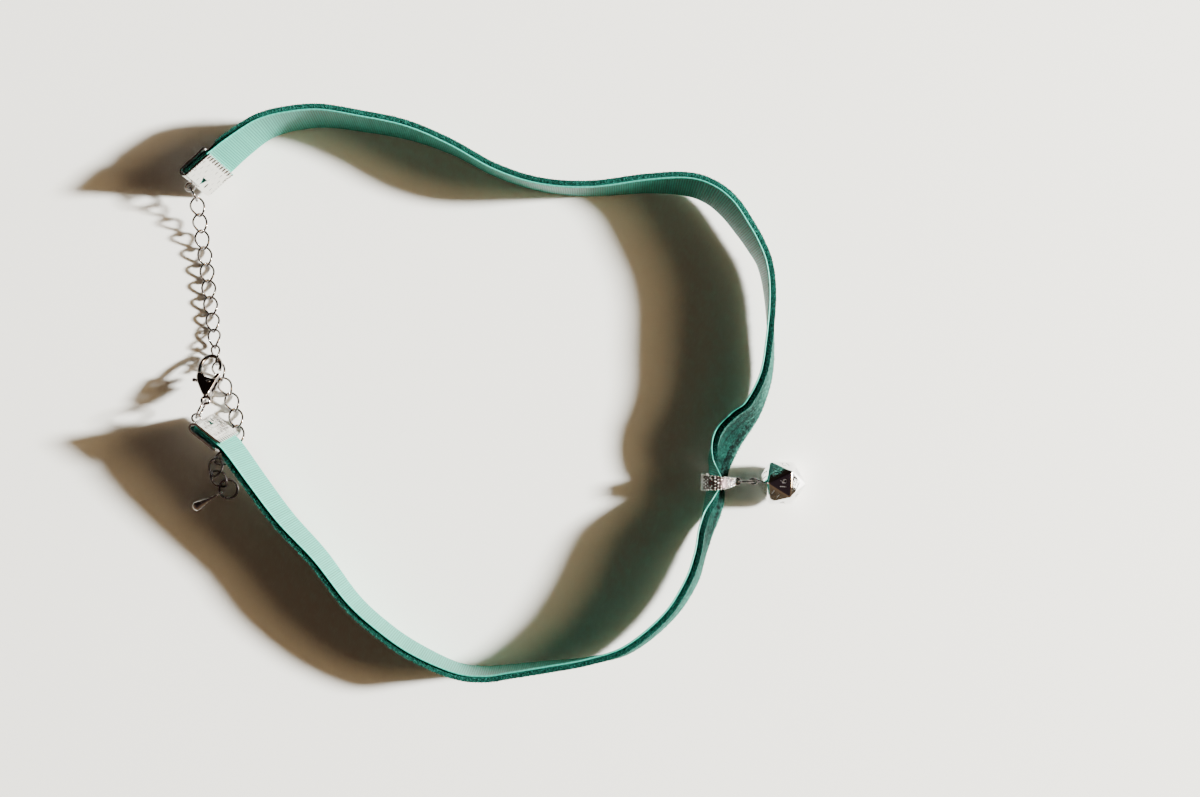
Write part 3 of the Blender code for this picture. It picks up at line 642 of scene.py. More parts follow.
def multiply(nodes, links, base, by, share):
    """A colour times another, as far as the share says."""
    made = nodes.new("ShaderNodeMix")
    made.data_type = "RGBA"
    made.blend_type = "MULTIPLY"
    made.inputs[0].default_value = share
    links.new(base, made.inputs[6])
    links.new(by, made.inputs[7])
    return made.outputs[2]


def set_sheen(shader, weight, roughness, tint):
    shader.inputs["Sheen Weight"].default_value = weight
    shader.inputs["Sheen Roughness"].default_value = roughness
    shader.inputs["Sheen Tint"].default_value = (*tint, 1)


def painted(nodes, layer_name):
    made = nodes.new("ShaderNodeVertexColor")
    made.layer_name = layer_name
    return made.outputs["Color"]


def plated(name, colour, low, high, grain, depth):
    """Plated metal: its roughness drifts a little, and fine pits and swirls break its gloss."""
    made, nodes, links, shader = new_material(name, colour, low, 1.0)
    drift = noise_node(nodes, links, 900.0, 3.0)
    gloss = ramp(nodes, links, drift, [(0.35, (low, low, low)), (0.70, (high, high, high))])
    links.new(gloss, shader.inputs["Roughness"])
    bump(nodes, links, noise_node(nodes, links, grain), shader, depth, 0.5)
    return made


def ribbed():
    """The ribbon's woven back: pale green, with painted light on each rib's crest and painted
    shade in its grooves, and its selvedge paler.
    """
    made, nodes, links, shader = new_material("ribbed_back", (0.05, 0.31, 0.23), 0.5, 0.0)
    set_sheen(shader, 0.02, 0.4, (0.5, 0.9, 0.8))
    threads = noise_node(nodes, links, 2600.0)
    split = nodes.new("ShaderNodeSeparateColor")
    links.new(painted(nodes, "tone"), split.inputs["Color"])
    # Its red channel holds the ribs' painted light and shade; the green one holds the selvedge's
    # paler tone.
    depth = ramp(nodes, links, split.outputs["Red"],
                 [(0.0, (0.003, 0.060, 0.044)), (0.5, (0.014, 0.190, 0.140)),
                  (1.0, (0.015, 0.315, 0.235))])
    pale = nodes.new("ShaderNodeMix")
    pale.data_type = "RGBA"
    pale.inputs[7].default_value = (0.03, 0.38, 0.285, 1)
    links.new(split.outputs["Green"], pale.inputs[0])
    links.new(depth, pale.inputs[6])
    spread = ramp(nodes, links, threads, [(0.3, (0.55, 0.6, 0.6)), (0.7, (1.15, 1.1, 1.1))])
    grain = multiply(nodes, links, pale.outputs[2], spread, 0.35)
    links.new(grain, shader.inputs["Base Color"])
    bump(nodes, links, threads, shader, 0.00003, 0.5)
    return made


def velvet(name, dark, light, sheen, speckle):
    """Cut pile. Its painted sheen layer runs from 0, looked into and painted dark, to 1, brushed
    over and painted pale.
    """
    made, nodes, links, shader = new_material(name, light, 0.9, 0.0)
    set_sheen(shader, sheen, 0.30, (0.42, 0.86, 0.74))
    shader.inputs["Specular IOR Level"].default_value = 0.05
    painted_sheen_colour = ramp(nodes, links, painted(nodes, "painted_sheen"), [(0.0, dark), (1.0, light)])
    fine = noise_node(nodes, links, 2200.0)
    spread = ramp(nodes, links, fine, [(0.38, (0.25, 0.30, 0.30)), (0.62, (1.7, 1.6, 1.6))])
    tips = multiply(nodes, links, painted_sheen_colour, spread, speckle)
    links.new(tips, shader.inputs["Base Color"])
    bump(nodes, links, fine, shader, 0.00015, 0.9)
    return made


def paint(thing, layer_name, values):
    """A colour on each point, from three numbers or from one grey value."""
    layer = thing.data.color_attributes.new(layer_name, "FLOAT_COLOR", "POINT")
    for k, value in enumerate(values):
        colour = value if isinstance(value, tuple) else (value, value, value)
        layer.data[k].color = (*colour, 1.0)


# The ribbon

def station(row):
    named = dict(zip(RIBBON_COLUMNS, row))
    return Vector((
        named["across"] * LOOP_LENGTH,
        named["along"] * LOOP_BREADTH,
        math.radians(named["lean"]),
        math.radians(named["cup"]),
        named["lift"] * RIBBON_WIDTH,
    ))


def dense_line():
    """The ribbon's smooth line in fine steps, with the run along the floor at each."""
    coarse = smooth_line([station(row) for row in RIBBON_STATIONS], LINE_STEPS)
    runs = [0.0]
    for a, b in zip(coarse, coarse[1:]):
        runs.append(runs[-1] + math.dist(a[:2], b[:2]))
    return coarse, runs


def resample(coarse, runs, step):
    count = round(runs[-1] / step)
    line = []
    k = 0
    for n in range(count + 1):
        at = runs[-1] * n / count
        while k < len(runs) - 2 and runs[k + 1] < at:
            k += 1
        t = (at - runs[k]) / (runs[k + 1] - runs[k])
        line.append((at, coarse[k].lerp(coarse[k + 1], min(1.0, t))))
    return line


def direction(line, i):
    before = line[max(i - 1, 0)][1]
    after = line[min(i + 1, len(line) - 1)][1]
    return Vector((after[0] - before[0], after[1] - before[1], 0)).normalized()


def thickness(run, whole, bail_run):
    ends = min(run, whole - run) - CRIMP_LENGTH
    bail = abs(run - bail_run) - BAIL_WIDE / 2
    crushed = 1 - smoothstep(min(ends, bail) / CRUSH_RUN)
    return RIBBON_THICK + (RIBBON_CRUSHED - RIBBON_THICK) * crushed


def rough_at(run, height, kind):
    along, up, seed = kind
    return noise.noise(Vector((run * along, height * up, seed)))


def looseness(thick):
    """1 where the ribbon has its full thickness, and 0 where it is crushed."""
    return (thick - RIBBON_CRUSHED) / (RIBBON_THICK - RIBBON_CRUSHED)


def from_low(low, free):
    """A share that is low where the ribbon is crushed and 1 where it is free."""
    return low + (1 - low) * free


def back_curve(place, along, thick, heights):
    """Points up the ribbon's back at the given shares of its width, each with its normal."""
    x, y, lean, cup, lift = place
    out = UP.cross(along)

    def angle_at(share):
        return lean + cup * (smoothstep((share - CUP_FROM) / (CUP_TO - CUP_FROM)) - CUP_MEAN)

    sag = thick * max(0.0, math.sin(lean))
    point = Vector((x, y, max(lift, 0.0) + sag + FLOOR_GAP))
    found = {}
    share = 0.0
    for height in sorted(set(heights)):
        pieces = max(1, math.ceil((height - share) / CURVE_STEP))
        for k in range(pieces):
            angle = angle_at(share + (height - share) * (k + 0.5) / pieces)
            up = out * math.sin(angle) + Vector((0, 0, math.cos(angle)))
            point = point + up * (RIBBON_WIDTH * (height - share) / pieces)
        share = height
        angle = angle_at(height)
        found[height] = (point, out * math.cos(angle) - Vector((0, 0, math.sin(angle))))
    return found


def make_ribbon(line, bail_run, finishes):
    whole = line[-1][0]
    vertices, tones, painted_sheens = [], [], []
    heights = [row[0] for row in SECTION]
    for i, (run, place) in enumerate(line):
        thick = thickness(run, whole, bail_run)
        curve = back_curve(place, direction(line, i), thick, heights)
        phase = math.cos(2 * math.pi * run / RIB_PITCH)
        dash = math.cos(2 * math.pi * run / (RIB_PITCH * 2))
        wander = rough_at(run, 0, WANDER_NOISE)
        for height, depth, kind in SECTION:
            spot, normal = curve[height]
            edge = min(height, 1 - height) * RIBBON_WIDTH
            rib = 0.0
            pale = EDGE_PALE + EDGE_DASH * dash
            if kind == BACK:
                rib = smoothstep((edge - SELVEDGE_FROM) / SELVEDGE_FADE)
                pale = (1 - rib) * (BACK_PALE + BACK_DASH * dash)
            push = -RIB_DEPTH * phase * rib
            if kind == PILE:
                push = PILE_SWELL * rough_at(run, height, EDGE_NOISE)
            vertices.append(spot + normal * (depth * thick + push))
            # Painted light on each rib's crest and painted shade in its groove, and a tone that
            # wanders
            light = 0.5 + RIB_PAINTED_SHADE * phase * rib + WANDER_TONE * wander
            tones.append((clamp(light), max(0.0, pale), 0.0))
            # The edge's painted sheen, with painted shade by the bail and a tone that wanders
            painted_sheens.append(EDGE_PAINTED_SHEEN - EDGE_SHADE * shaded(run, bail_run) + EDGE_WANDER * wander)
    faces = grid_faces(len(line), len(SECTION), False, True)
    faces += end_faces(len(SECTION), len(vertices))
    kinds = [kind for _, _, kind in SECTION]
    strip = [1 if PILE in pair or pair == (GROOVE, GROOVE) else 0
             for pair in zip(kinds, kinds[1:] + kinds[:1])]
    slots = strip * (len(line) - 1) + [0, 0]
    made = mesh_object("ribbon", vertices, faces, finishes, 60, slots)
    paint(made, "tone", tones)
    paint(made, "painted_sheen", painted_sheens)
    return made


def nap_at(run, height, bail_run):
    """The face's painted sheen: paler low down, streaked, and painted dark by the bail, where
    the pile is pressed.
    """
    away = abs(run - bail_run)
    pressed = 1 - smoothstep((away - PRESSED_FROM) / PRESSED_FADE)
    pinched = 1 - smoothstep((away - PINCHED_FROM) / PINCHED_FADE)
    band = BAND_PAINTED_SHEEN * smoothstep((height - BAND_FROM) / BAND_FADE) * (1 - pinched)
    rim = RIM_PAINTED_SHEEN * (1 - smoothstep(height / RIM_FADE)) * (1 - RIM_PINCHED * pinched)
    fall = 1 - smoothstep((height - FALL_FROM) / FALL_FADE)
    loose = LOOSE_PAINTED_SHEEN + LOOSE_FALL * fall + LOOSE_STREAK * rough_at(run, height, STREAK_NOISE)
    painted_sheen = loose * (1 - pressed) + (band + rim) * pressed
    mottle = MOTTLE - MOTTLE_PRESSED * pressed
    return clamp(painted_sheen + mottle * rough_at(run, height, MOTTLE_NOISE))


def shaded(run, bail_run):
    """How much painted shade the edge's pile gets where it is looked into: all of it by the
    bail, none far from it.
    """
    return 1 - smoothstep((abs(run - bail_run) - SHADED_FROM) / SHADED_FADE)


def make_pile_face(line, bail_run, finish):
    """The pile's brushed face, a little rough."""
    whole = line[-1][0]
    heights = [PILE_FOOT + PILE_TALL * k / PILE_ROWS for k in range(PILE_ROWS + 1)]
    end = CRIMP_LENGTH * PILE_INTO_CRIMP
    keep = [i for i, (run, _) in enumerate(line) if end < run < whole - end]
    vertices, painted_sheens = [], []
    for i in keep:
        run, place = line[i]
        thick = thickness(run, whole, bail_run)
        free = looseness(thick)
        curve = back_curve(place, direction(line, i), thick, heights)
        for height in heights:
            spot, normal = curve[height]
            rough = rough_at(run, height, FACE_NOISE)
            swell = rough_at(run, height, SWELL_NOISE)
            push = (PILE_ROUGH * rough + PILE_SWELL * swell) * from_low(PILE_CRUSHED, free)
            deep = thick * PILE_OUT + push
            vertices.append(spot + normal * deep)
            painted_sheens.append(nap_at(run, height, bail_run))
    face = open_sheet("pile", vertices, grid_faces(len(keep), len(heights), False, False),
                      finish)
    paint(face, "painted_sheen", painted_sheens)
    return face


def make_tufts(line, bail_run, finish):
    """The tufts that stand up along both edges of the pile."""
    dice = random.Random(7)
    whole = line[-1][0]
    step = line[1][0] - line[0][0]
    edges = ((1 - TUFT_INSET, 1.0), (TUFT_INSET, -1.0))
    vertices, faces, painted_sheens = [], [], []
    run = CRIMP_LENGTH
    while run < whole - CRIMP_LENGTH:
        i = min(len(line) - 2, int(run / step))
        place = line[i][1]
        along = direction(line, i)
        thick = thickness(run, whole, bail_run)
        free = looseness(thick)
        curve = back_curve(place, along, thick, [height for height, _ in edges])
        for height, sign in edges:
            spot, normal = curve[height]
            up = normal.cross(along).normalized() * sign
            if up.z * sign < 0:
                up = -up
            for depth in TUFT_DEPTHS:
                base = spot + normal * thick * (depth + dice.uniform(*TUFT_SHIFT))
                base = base + along * dice.uniform(*TUFT_STRAY)
                lean = normal * dice.uniform(*TUFT_OUT) + along * dice.uniform(*TUFT_ALONG)
                tall = dice.uniform(*TUFT_TALL) * from_low(TUFT_CRUSHED, free)
                tip = base + (up + lean * TUFT_LEAN).normalized() * tall
                wide = dice.uniform(*TUFT_WIDE)
                first = len(vertices)
                for k in range(4):
                    turn = math.pi / 2 * k
                    vertices.append(base - up * TUFT_ROOT
                                    + (along * math.cos(turn) + normal * math.sin(turn)) * wide)
                vertices.append(tip)
                # Each tuft's painted sheen: lower where crushed, painted shade by the bail, and
                # painted shade at its root, half its tip's
                tone = dice.uniform(*TUFT_TONE) * from_low(TUFT_DULLED, free)
                tone *= 1 - TUFT_SHADED * shaded(run, bail_run)
                painted_sheens += [tone * 0.5] * 4 + [tone]
                for k in range(4):
                    faces.append((first + k, first + (k + 1) % 4, first + 4))
        run += TUFT_STEP
    tufts = open_sheet("tufts", vertices, faces, finish)
    paint(tufts, "painted_sheen", painted_sheens)
    return tufts


def open_sheet(name, vertices, faces, finish):
    mesh = new_mesh(name, vertices, faces, [finish])
    mesh.shade_smooth()
    return new_object(name, mesh)


# The findings

def crimp_half():
    return RIBBON_CRUSHED / 2 + CRIMP_GAP + CRIMP_PLATE


def end_frame(rows, at_start):
    """The frame of a crimp: X out of the ribbon's end, Z up its width, from its middle."""
    i = 0 if at_start else len(rows) - 1
    along = direction([(0.0, row) for row in rows], i)
    curve = back_curve(rows[i], along, RIBBON_CRUSHED, [0.0, 1.0])
    low, normal = curve[0.0]
    high = curve[1.0][0]
    out_of_end = along * (-1 if at_start else 1)
    up = (high - low).normalized()
    side = up.cross(out_of_end).normalized()
    middle = (low + high) / 2 + normal * (RIBBON_CRUSHED / 2)
    return frame_at(out_of_end, side, up, middle + out_of_end * crimp_half())


def coarse_rows():
    """The part's own coarse sections, whose end directions set the crimps."""
    rows = [station(row) for row in RIBBON_STATIONS]
    line = []
    for i in range(len(rows) - 1):
        run = math.dist(rows[i][:2], rows[i + 1][:2])
        steps = max(1, math.ceil(run / COARSE_STEP))
        line += [smooth_between(rows, i, k / steps) for k in range(steps)]
    line.append(rows[-1])
    return line


def hole_axis(place, hang):
    return placed_way(place, 1, 0, 0).cross(hang).normalized()


def brick_relief(x, z):
    """Low bricks and the grooves between them."""
    row = math.floor(x / BRICK_TALL)
    across = z / BRICK_LONG + 0.5 * (row % 2)
    column = math.floor(across)
    from_row = (x / BRICK_TALL - row) * BRICK_TALL
    from_column = (across - column) * BRICK_LONG
    edge = min(from_row, BRICK_TALL - from_row, from_column, BRICK_LONG - from_column)
    step = noise.noise(Vector((row * 7.3, column * 3.1, 4.0)))
    return BRICK_STEP * step - BRICK_GROOVE * (1 - smoothstep(edge / GROOVE_WIDE))


def crimp_spot(layer, half, half_width, x, sign, turn, z):
    """A point of the crimp's plate, on its flats or, where x is None, round its bend."""
    if x is None:
        return Vector((-half + layer * math.cos(turn), layer * math.sin(turn), z))
    edge = half_width - abs(z)
    wave = math.cos(2 * math.pi * z / TEETH_PITCH)
    near = smoothstep((-CRIMP_LENGTH + TEETH_FROM - x) / TEETH_FADE)
    raised = TEETH_TALL * near * wave
    if layer == half:
        beads = 0.5 + 0.5 * math.cos(2 * math.pi * x / CRIMP_RIM_PITCH)
        rim = CRIMP_RIM_TALL * beads * math.exp(-((edge - CRIMP_RIM_IN) / CRIMP_RIM_WIDE) ** 2)
        bricks = brick_relief(x, z) * smoothstep((edge - BRICKS_FROM) / BRICKS_FADE)
        raised += rim + bricks * (1 - near)
    reach = x - near * (TEETH_CUT + TEETH_CUT * wave)
    return Vector((reach, sign * (layer + raised), z))


def make_crimp(name, place, hang, plate_finish, plain_finish):
    half = crimp_half()
    inside = half - CRIMP_PLATE
    half_width = RIBBON_WIDTH / 2 + CRIMP_OVERHANG
    flat = CRIMP_LENGTH - half
    outline = [(-CRIMP_LENGTH + flat * k / CRIMP_ROWS, 1.0, 0.0) for k in range(CRIMP_ROWS)]
    outline += [(None, None, math.pi * (0.5 - k / CRIMP_BEND_ROWS))
                for k in range(CRIMP_BEND_ROWS + 1)]
    outline += [(-half - flat * k / CRIMP_ROWS, -1.0, 0.0) for k in range(1, CRIMP_ROWS + 1)]
    levels = [-half_width + 2 * half_width * j / CRIMP_COLUMNS for j in range(CRIMP_COLUMNS + 1)]
    vertices = [place @ crimp_spot(layer, half, half_width, *row, z)
                for layer in (half, inside) for row in outline for z in levels]
    rows, across = len(outline), len(levels)
    back = rows * across
    faces = grid_faces(rows, across, False, False)
    faces += [tuple(back + k for k in face) for face in faces]
    rims = [(i * across + j, across) for i in range(rows - 1) for j in (0, CRIMP_COLUMNS)]
    rims += [(i * across + j, 1) for j in range(CRIMP_COLUMNS) for i in (0, rows - 1)]
    faces += [(a, a + step, back + a + step, back + a) for a, step in rims]
    crimp = mesh_object(name + "_plate", vertices, faces, [plate_finish], 50)
    through = place @ Matrix.Rotation(math.radians(90), 4, "X")
    near = -CRIMP_WALL
    far = near - CRIMP_WINDOW
    triangle = [(near, 0.0), (far, CRIMP_WINDOW / 2), (far, -CRIMP_WINDOW / 2)]
    cut(crimp, prism("window", triangle, -WINDOW_REACH, WINDOW_REACH, through, None))
    shade(crimp.data, 50)
    way_out = placed_way(place, 1, 0, 0)
    hole = place @ Vector((TAB_REACH, 0, 0))
    middle = (TAB_RADIUS + TAB_HOLE) / 2
    sideways = hole_axis(place, hang).cross(way_out)
    tab = ring(name + "_tab", hole, way_out, sideways, middle, TAB_RADIUS - TAB_HOLE,
               plain_finish)
    return join(name, [crimp, tab])


def chain_joints(start):
    route = [start] + [Vector(p) for p in CHAIN_ROUTE]
    joints = [start]
    for point in smooth_line(route, ROUTE_STEPS):
        on_route = len(joints) <= LINK_COUNT - len(SLACK_HEADINGS)
        if on_route and (point - joints[-1]).length >= LINK_PITCH:
            joints.append(joints[-1] + (point - joints[-1]).normalized() * LINK_PITCH)
    for heading in SLACK_HEADINGS:
        joints.append(joints[-1] + level_way(heading) * SLACK_PITCH)
    return joints


def past_joint(pitch):
    return (LINK_LENGTH - LINK_WIRE - pitch) / 2


def make_link(number, start, end, finish):
    along = (end - start).normalized()
    side = UP.cross(along).normalized()
    up = along.cross(side)
    centre = (start + end) / 2
    half_length = (LINK_LENGTH - LINK_WIRE) / 2
    half_width = (LINK_WIDTH - LINK_WIRE) / 2
    roll = math.radians(HELD_ROLL) * math.exp(-abs(number - HELD_LINK) / ROLL_FADE)
    points, ups = [], []
    for i in range(LINK_SIDES):
        turn = 2 * math.pi * i / LINK_SIDES
        lengthwise = math.cos(turn)
        twist = math.radians(LINK_TWIST) * lengthwise + roll
        wide = side * math.cos(twist) + up * math.sin(twist)
        points.append(centre + along * half_length * lengthwise
                      + wide * half_width * math.sin(turn))
        ups.append(along.cross(wide))
    shape = tube(points, ups, [LINK_WIRE / 2] * LINK_SIDES, WIRE_SIDES, True)
    return mesh_object(f"link_{number:02d}", *shape, [finish])


def clasp_frame():
    slope = math.radians(CLASP_SLOPE)
    ahead = level_way(CLASP_HEADING) * math.cos(slope) - Vector((0, 0, math.sin(slope)))
    right = ahead.cross(UP).normalized()
    return frame_at(right, ahead, right.cross(ahead),
                    Vector(HOOK_TOP_AT) - ahead * (HOOK_TOP * CLASP_LENGTH))


def in_clasp(share):
    return share[0] * CLASP_LENGTH, share[1] * CLASP_LENGTH


def make_clasp_body(place, finish):
    outline = smooth_loop([Vector(in_clasp(p)) for p in CLASP_BODY], 4)
    body = prism("body", outline, -CLASP_THICK / 2, CLASP_THICK / 2, place, finish)
    soften(body, CLASP_ROUND, 5, 50)
    slot_half = LEVER_THICK / 2 + LEVER_PLAY
    cut(body, prism("slot", [in_clasp(p) for p in CLASP_SLOT], -slot_half, slot_half, place,
                    None))
    shade(body.data, 35)
    line = smooth_line([Vector((*in_clasp(p), 0)) for p in CLASP_HOOK], 5)
    taper = [i / (len(line) - 1) for i in range(len(line))]
    radii = [(HOOK_WIRE + (HOOK_TIP_WIRE - HOOK_WIRE) * t * t) / 2 for t in taper]
    normals = [placed_way(place, 0, 0, 1)] * len(line)
    hook = mesh_object("hook", *tube([place @ p for p in line], normals, radii, 20, False),
                       [finish], 50)
    proud = CLASP_THICK / 2 + PIN_PROUD
    pin = prism("pin", circle(*in_clasp(PIVOT), PIN_RADIUS * PIN_HEAD, 20), -proud, proud, place,
                finish)
    soften(pin, PIN_ROUND, 3)
    eye = ring("eye", place.translation, placed_way(place, 1, 0, 0),
               placed_way(place, 0, 1, 0), EYE_RADIUS, EYE_WIRE, finish)
    return join("clasp", [body, hook, pin, eye])


def bar_outline(start, end, wide_start, wide_end):
    a, b = Vector(start), Vector(end)
    along = (b - a).normalized()
    side = Vector((-along.y, along.x))
    corners = [a - side * wide_start / 2, b - side * wide_end / 2,
               b + side * wide_end / 2, a + side * wide_start / 2]
    return [tuple(c) for c in corners]


def make_clasp_lever(place, finish):
    half = LEVER_THICK / 2
    pivot = in_clasp(PIVOT)
    arm = bar_outline(pivot, in_clasp(LEVER_TIP), LEVER_HUB, LEVER_ARM)
    stem = bar_outline(pivot, in_clasp(KNOB), LEVER_STEM, LEVER_STEM)
    parts = []
    for name, outline, share in (("hub", circle(*pivot, LEVER_HUB, 28), 1.0),
                                 ("arm", arm, 0.9), ("stem", stem, 0.8)):
        parts.append(prism(name, outline, -half * share, half * share, place, finish))
        soften(parts[-1], LEVER_ROUND, 3)
    away = placed_way(place, -1, 0, 0).normalized()
    start = place @ Vector((*in_clasp(KNOB), 0)) - away * KNOB_RADIUS
    parts.append(turned("knob", start, away, placed_way(place, 0, 0, 1), KNOB_PROFILE,
                        2 * KNOB_RADIUS, KNOB_RADIUS, 20, finish))
    return join("lever", parts)


def bail_curve(steps):
    points = []
    for out, up, wide in smooth_loop([Vector(p) for p in BAIL_PROFILE], steps):
        points.append((out * BAIL_REACH, up * BAIL_HEIGHT,
                       BAIL_NARROW + (BAIL_WIDE - BAIL_NARROW) * clamp(wide)))
    return points


def bead(shape, centre, radius):
    bmesh.ops.create_icosphere(shape, subdivisions=1, radius=radius,
                               matrix=Matrix.Translation(centre))


def make_bail(seat, finish, field, dark, granular, eye_finish):
    """The band with beaded edges and a granulated field that two sunk diamonds break."""
    curve = bail_curve(BAIL_STEPS)
    left = seat.x - BAIL_REACH * BAIL_SEAT_OUT
    middle_y = seat.y + BAIL_SEAT_ALONG
    count = len(curve)
    half = BAIL_BAND / 2
    floor = half + FLOOR_GAP

    def at(i, away, side):
        out, up, wide = curve[i % count]
        before = Vector(curve[(i - 1) % count][:2])
        after = Vector(curve[(i + 1) % count][:2])
        tangent = (after - before).normalized()
        normal = Vector((tangent.y, -tangent.x))
        return Vector((left + out + normal.x * away, middle_y + side * wide / 2,
                       floor + up + normal.y * away))

    section = tuple((half * away, side) for away, side in BAIL_SECTION)
    # The section is turned where its upper face would point into the band's loop.
    middle = Vector((left + BAIL_REACH / 2, middle_y, BAIL_HEIGHT / 2))
    if (at(0, half, 0) - middle).length < (at(0, -half, 0) - middle).length:
        section = tuple((-away, side) for away, side in section)
    outward = 1.0 if section[0][0] > 0 else -1.0
    vertices = [at(i, away, side) for i in range(count) for away, side in section]
    faces = grid_faces(count, len(section), True, True)
    in_field = [1 if k % len(section) == 0 else 0 for k in range(len(faces))]
    band = mesh_object("band", vertices, faces, [finish, field], 45, in_field)

    runs = [0.0]
    for i in range(count):
        runs.append(runs[-1] + (at(i + 1, 0, 0) - at(i, 0, 0)).length)
    dice = random.Random(3)
    beads = bmesh.new()
    grains = bmesh.new()

    def index_at(run):
        low = max(k for k in range(count + 1) if runs[k] <= run)
        return min(low, count - 1)

    run = 0.0
    while run < runs[-1]:
        i = index_at(run)
        wide = curve[i][2]
        share = 1 - BEAD_INSET / (wide / 2)
        for side in (-share, share):
            bead(beads, at(i, outward * half * BEAD_SEAT, side), BEAD_RADIUS)
        run += BEAD_PITCH
    # Granules cover the field but leave the diamonds on its upper side.
    upper = range(count // 2)
    marks = [runs[min(upper, key=lambda k: abs(curve[k][0] - out))] for out in DIAMONDS_AT]
    run = 0.0
    row = 0
    while run < runs[-1]:
        i = index_at(run)
        wide = curve[i][2] - 2 * FIELD_MARGIN
        across = max(1, int(wide / GRANULE_PITCH))
        for k in range(across + 1):
            offset = (k - across / 2 + (0.5 if row % 2 else 0.0)) * GRANULE_PITCH
            if abs(offset) > wide / 2:
                continue
            sideways = abs(offset) / (DIAMOND_WIDE / 2)
            if min(abs(run - mark) / (DIAMOND_LONG / 2) for mark in marks) + sideways < 1.0:
                continue
            size = dice.uniform(*GRANULE_RADIUS)
            side = offset / (curve[i][2] / 2)
            bead(grains, at(i, outward * half * GRANULE_SEAT, side), size)
        run += GRANULE_PITCH * GRANULE_ROW
        row += 1
    parts = [band]
    for name, shape, coat in (("beads", beads, finish), ("grains", grains, granular)):
        mesh = bpy.data.meshes.new(name)
        shape.to_mesh(mesh)
        shape.free()
        mesh.shade_smooth()
        mesh.materials.append(coat)
        parts.append(new_object(name, mesh))
    for mark in marks:
        lozenge = []
        for along, across in ((-0.5, 0.0), (0.0, 0.5), (0.5, 0.0), (0.0, -0.5)):
            i = index_at(mark + along * DIAMOND_LONG)
            side = across * DIAMOND_WIDE / (curve[i][2] / 2)
            lozenge.append(at(i, outward * half * DIAMOND_SEAT, side))
        parts.append(mesh_object("lozenge", lozenge, [(0, 1, 2, 3)], [dark], 0))
    out, up, _ = curve[0]
    eye_centre = Vector((left + out + BAIL_EYE_RADIUS, middle_y, floor + up))
    parts.append(ring("eye", eye_centre, Vector((1, 0, 0)), Vector((0, 1, 0)), BAIL_EYE_RADIUS,
                      BAIL_EYE_WIRE, eye_finish))
    return join("bail_band", parts), eye_centre


def icosahedron():
    ring_height = 1 / math.sqrt(5)
    ring_out = 2 / math.sqrt(5)
    points = [UP]
    for k in range(10):
        turn = math.pi * k / 5
        height = ring_height if k % 2 == 0 else -ring_height
        points.append(Vector((ring_out * math.cos(turn), ring_out * math.sin(turn), height)))
    points.append(Vector((0, 0, -1)))
    faces = []
    for k in range(0, 10, 2):
        here, belt, following, last = 1 + k, 2 + k, 1 + (k + 2) % 10, 1 + (k + 9) % 10
        faces += [(0, here, following), (here, belt, following), (11, belt, last),
                  (here, last, belt)]
    return points, faces


def die_turn():
    points, faces = icosahedron()
    resting = (points[faces[1][0]] + points[faces[1][1]] + points[faces[1][2]]).normalized()
    down = resting.rotation_difference(Vector((0, 0, -1))).to_matrix()
    loop = down @ UP
    heading = math.radians(DIE_HEADING) - math.atan2(loop.y, loop.x)
    return Matrix.Rotation(heading, 3, "Z") @ down


def numeral(text, size, depth):
    """A numeral as a closed, extruded mesh that is centred on the origin and faces +Z."""
    data = bpy.data.curves.new("numeral", "FONT")
    data.body = text
    data.size = size
    data.align_x = "CENTER"
    data.align_y = "CENTER"
    data.extrude = depth
    data.resolution_u = 3
    thing = new_object("numeral", data)
    bpy.context.view_layer.update()
    graph = bpy.context.evaluated_depsgraph_get()
    mesh = bpy.data.meshes.new_from_object(thing.evaluated_get(graph))
    bpy.data.objects.remove(thing, do_unlink=True)
    return mesh


def make_die(ring_wire_point, finish, sunk, loop_finish):
    turn = die_turn()
    points, faces = icosahedron()
    loop_way = turn @ UP
    inradius = DIE_RADIUS * math.sqrt((5 + 2 * math.sqrt(5)) / 15)
    vertex_height = inradius + FLOOR_GAP + loop_way.z * DIE_RADIUS
    loop_centre = Vector((ring_wire_point.x - DIE_LOOP_WIRE / 2, ring_wire_point.y,
                          vertex_height))
    flat_way = Vector((loop_way.x, loop_way.y, 0)).normalized()
    vertex = loop_centre - flat_way * (DIE_LOOP_RADIUS - DIE_LOOP_BITE)
    centre = vertex - loop_way * DIE_RADIUS
    placed = [centre + turn @ p * DIE_RADIUS for p in points]
    die = mesh_object("die", placed, faces, [finish], 0)
    soften(die, DIE_ROUND, 4, 20)
    numbers = {}
    dice = random.Random(20)
    pool = list(range(1, 11))
    dice.shuffle(pool)
    middles = [(points[a] + points[b] + points[c]).normalized() for a, b, c in faces]
    for i, way in enumerate(middles):
        if i in numbers:
            continue
        other = max(range(20), key=lambda j: -middles[j].dot(way))
        numbers[i] = pool.pop()
        numbers[other] = 21 - numbers[i]
    cutters = bmesh.new()
    for i, (a, b, c) in enumerate(faces):
        middle = (placed[a] + placed[b] + placed[c]) / 3
        normal = (middle - centre).normalized()
        tall = (placed[(a, b, c)[i % 3]] - middle).normalized()
        side = tall.cross(normal)
        text = str(numbers[i]) + ("." if numbers[i] in (6, 9) else "")
        mesh = numeral(text, NUMERAL_TALL, NUMERAL_DEPTH)
        mesh.transform(frame_at(side, tall, normal, middle - tall * NUMERAL_DROP))
        cutters.from_mesh(mesh)
    mesh = bpy.data.meshes.new("numerals")
    bmesh.ops.remove_doubles(cutters, verts=cutters.verts, dist=0.000001)
    bmesh.ops.recalc_face_normals(cutters, faces=cutters.faces)
    cutters.to_mesh(mesh)
    cutters.free()
    mesh.materials.append(sunk)
    cut(die, new_object("numerals", mesh), "TRANSFER")
    shade(die.data, 18)
    tilt = math.radians(DIE_LOOP_TILT)
    over = Vector((0, math.cos(tilt), math.sin(tilt)))
    loop = ring("die_loop", loop_centre, flat_way, over, DIE_LOOP_RADIUS, DIE_LOOP_WIRE,
                loop_finish)
    return join("charm", [die, loop])


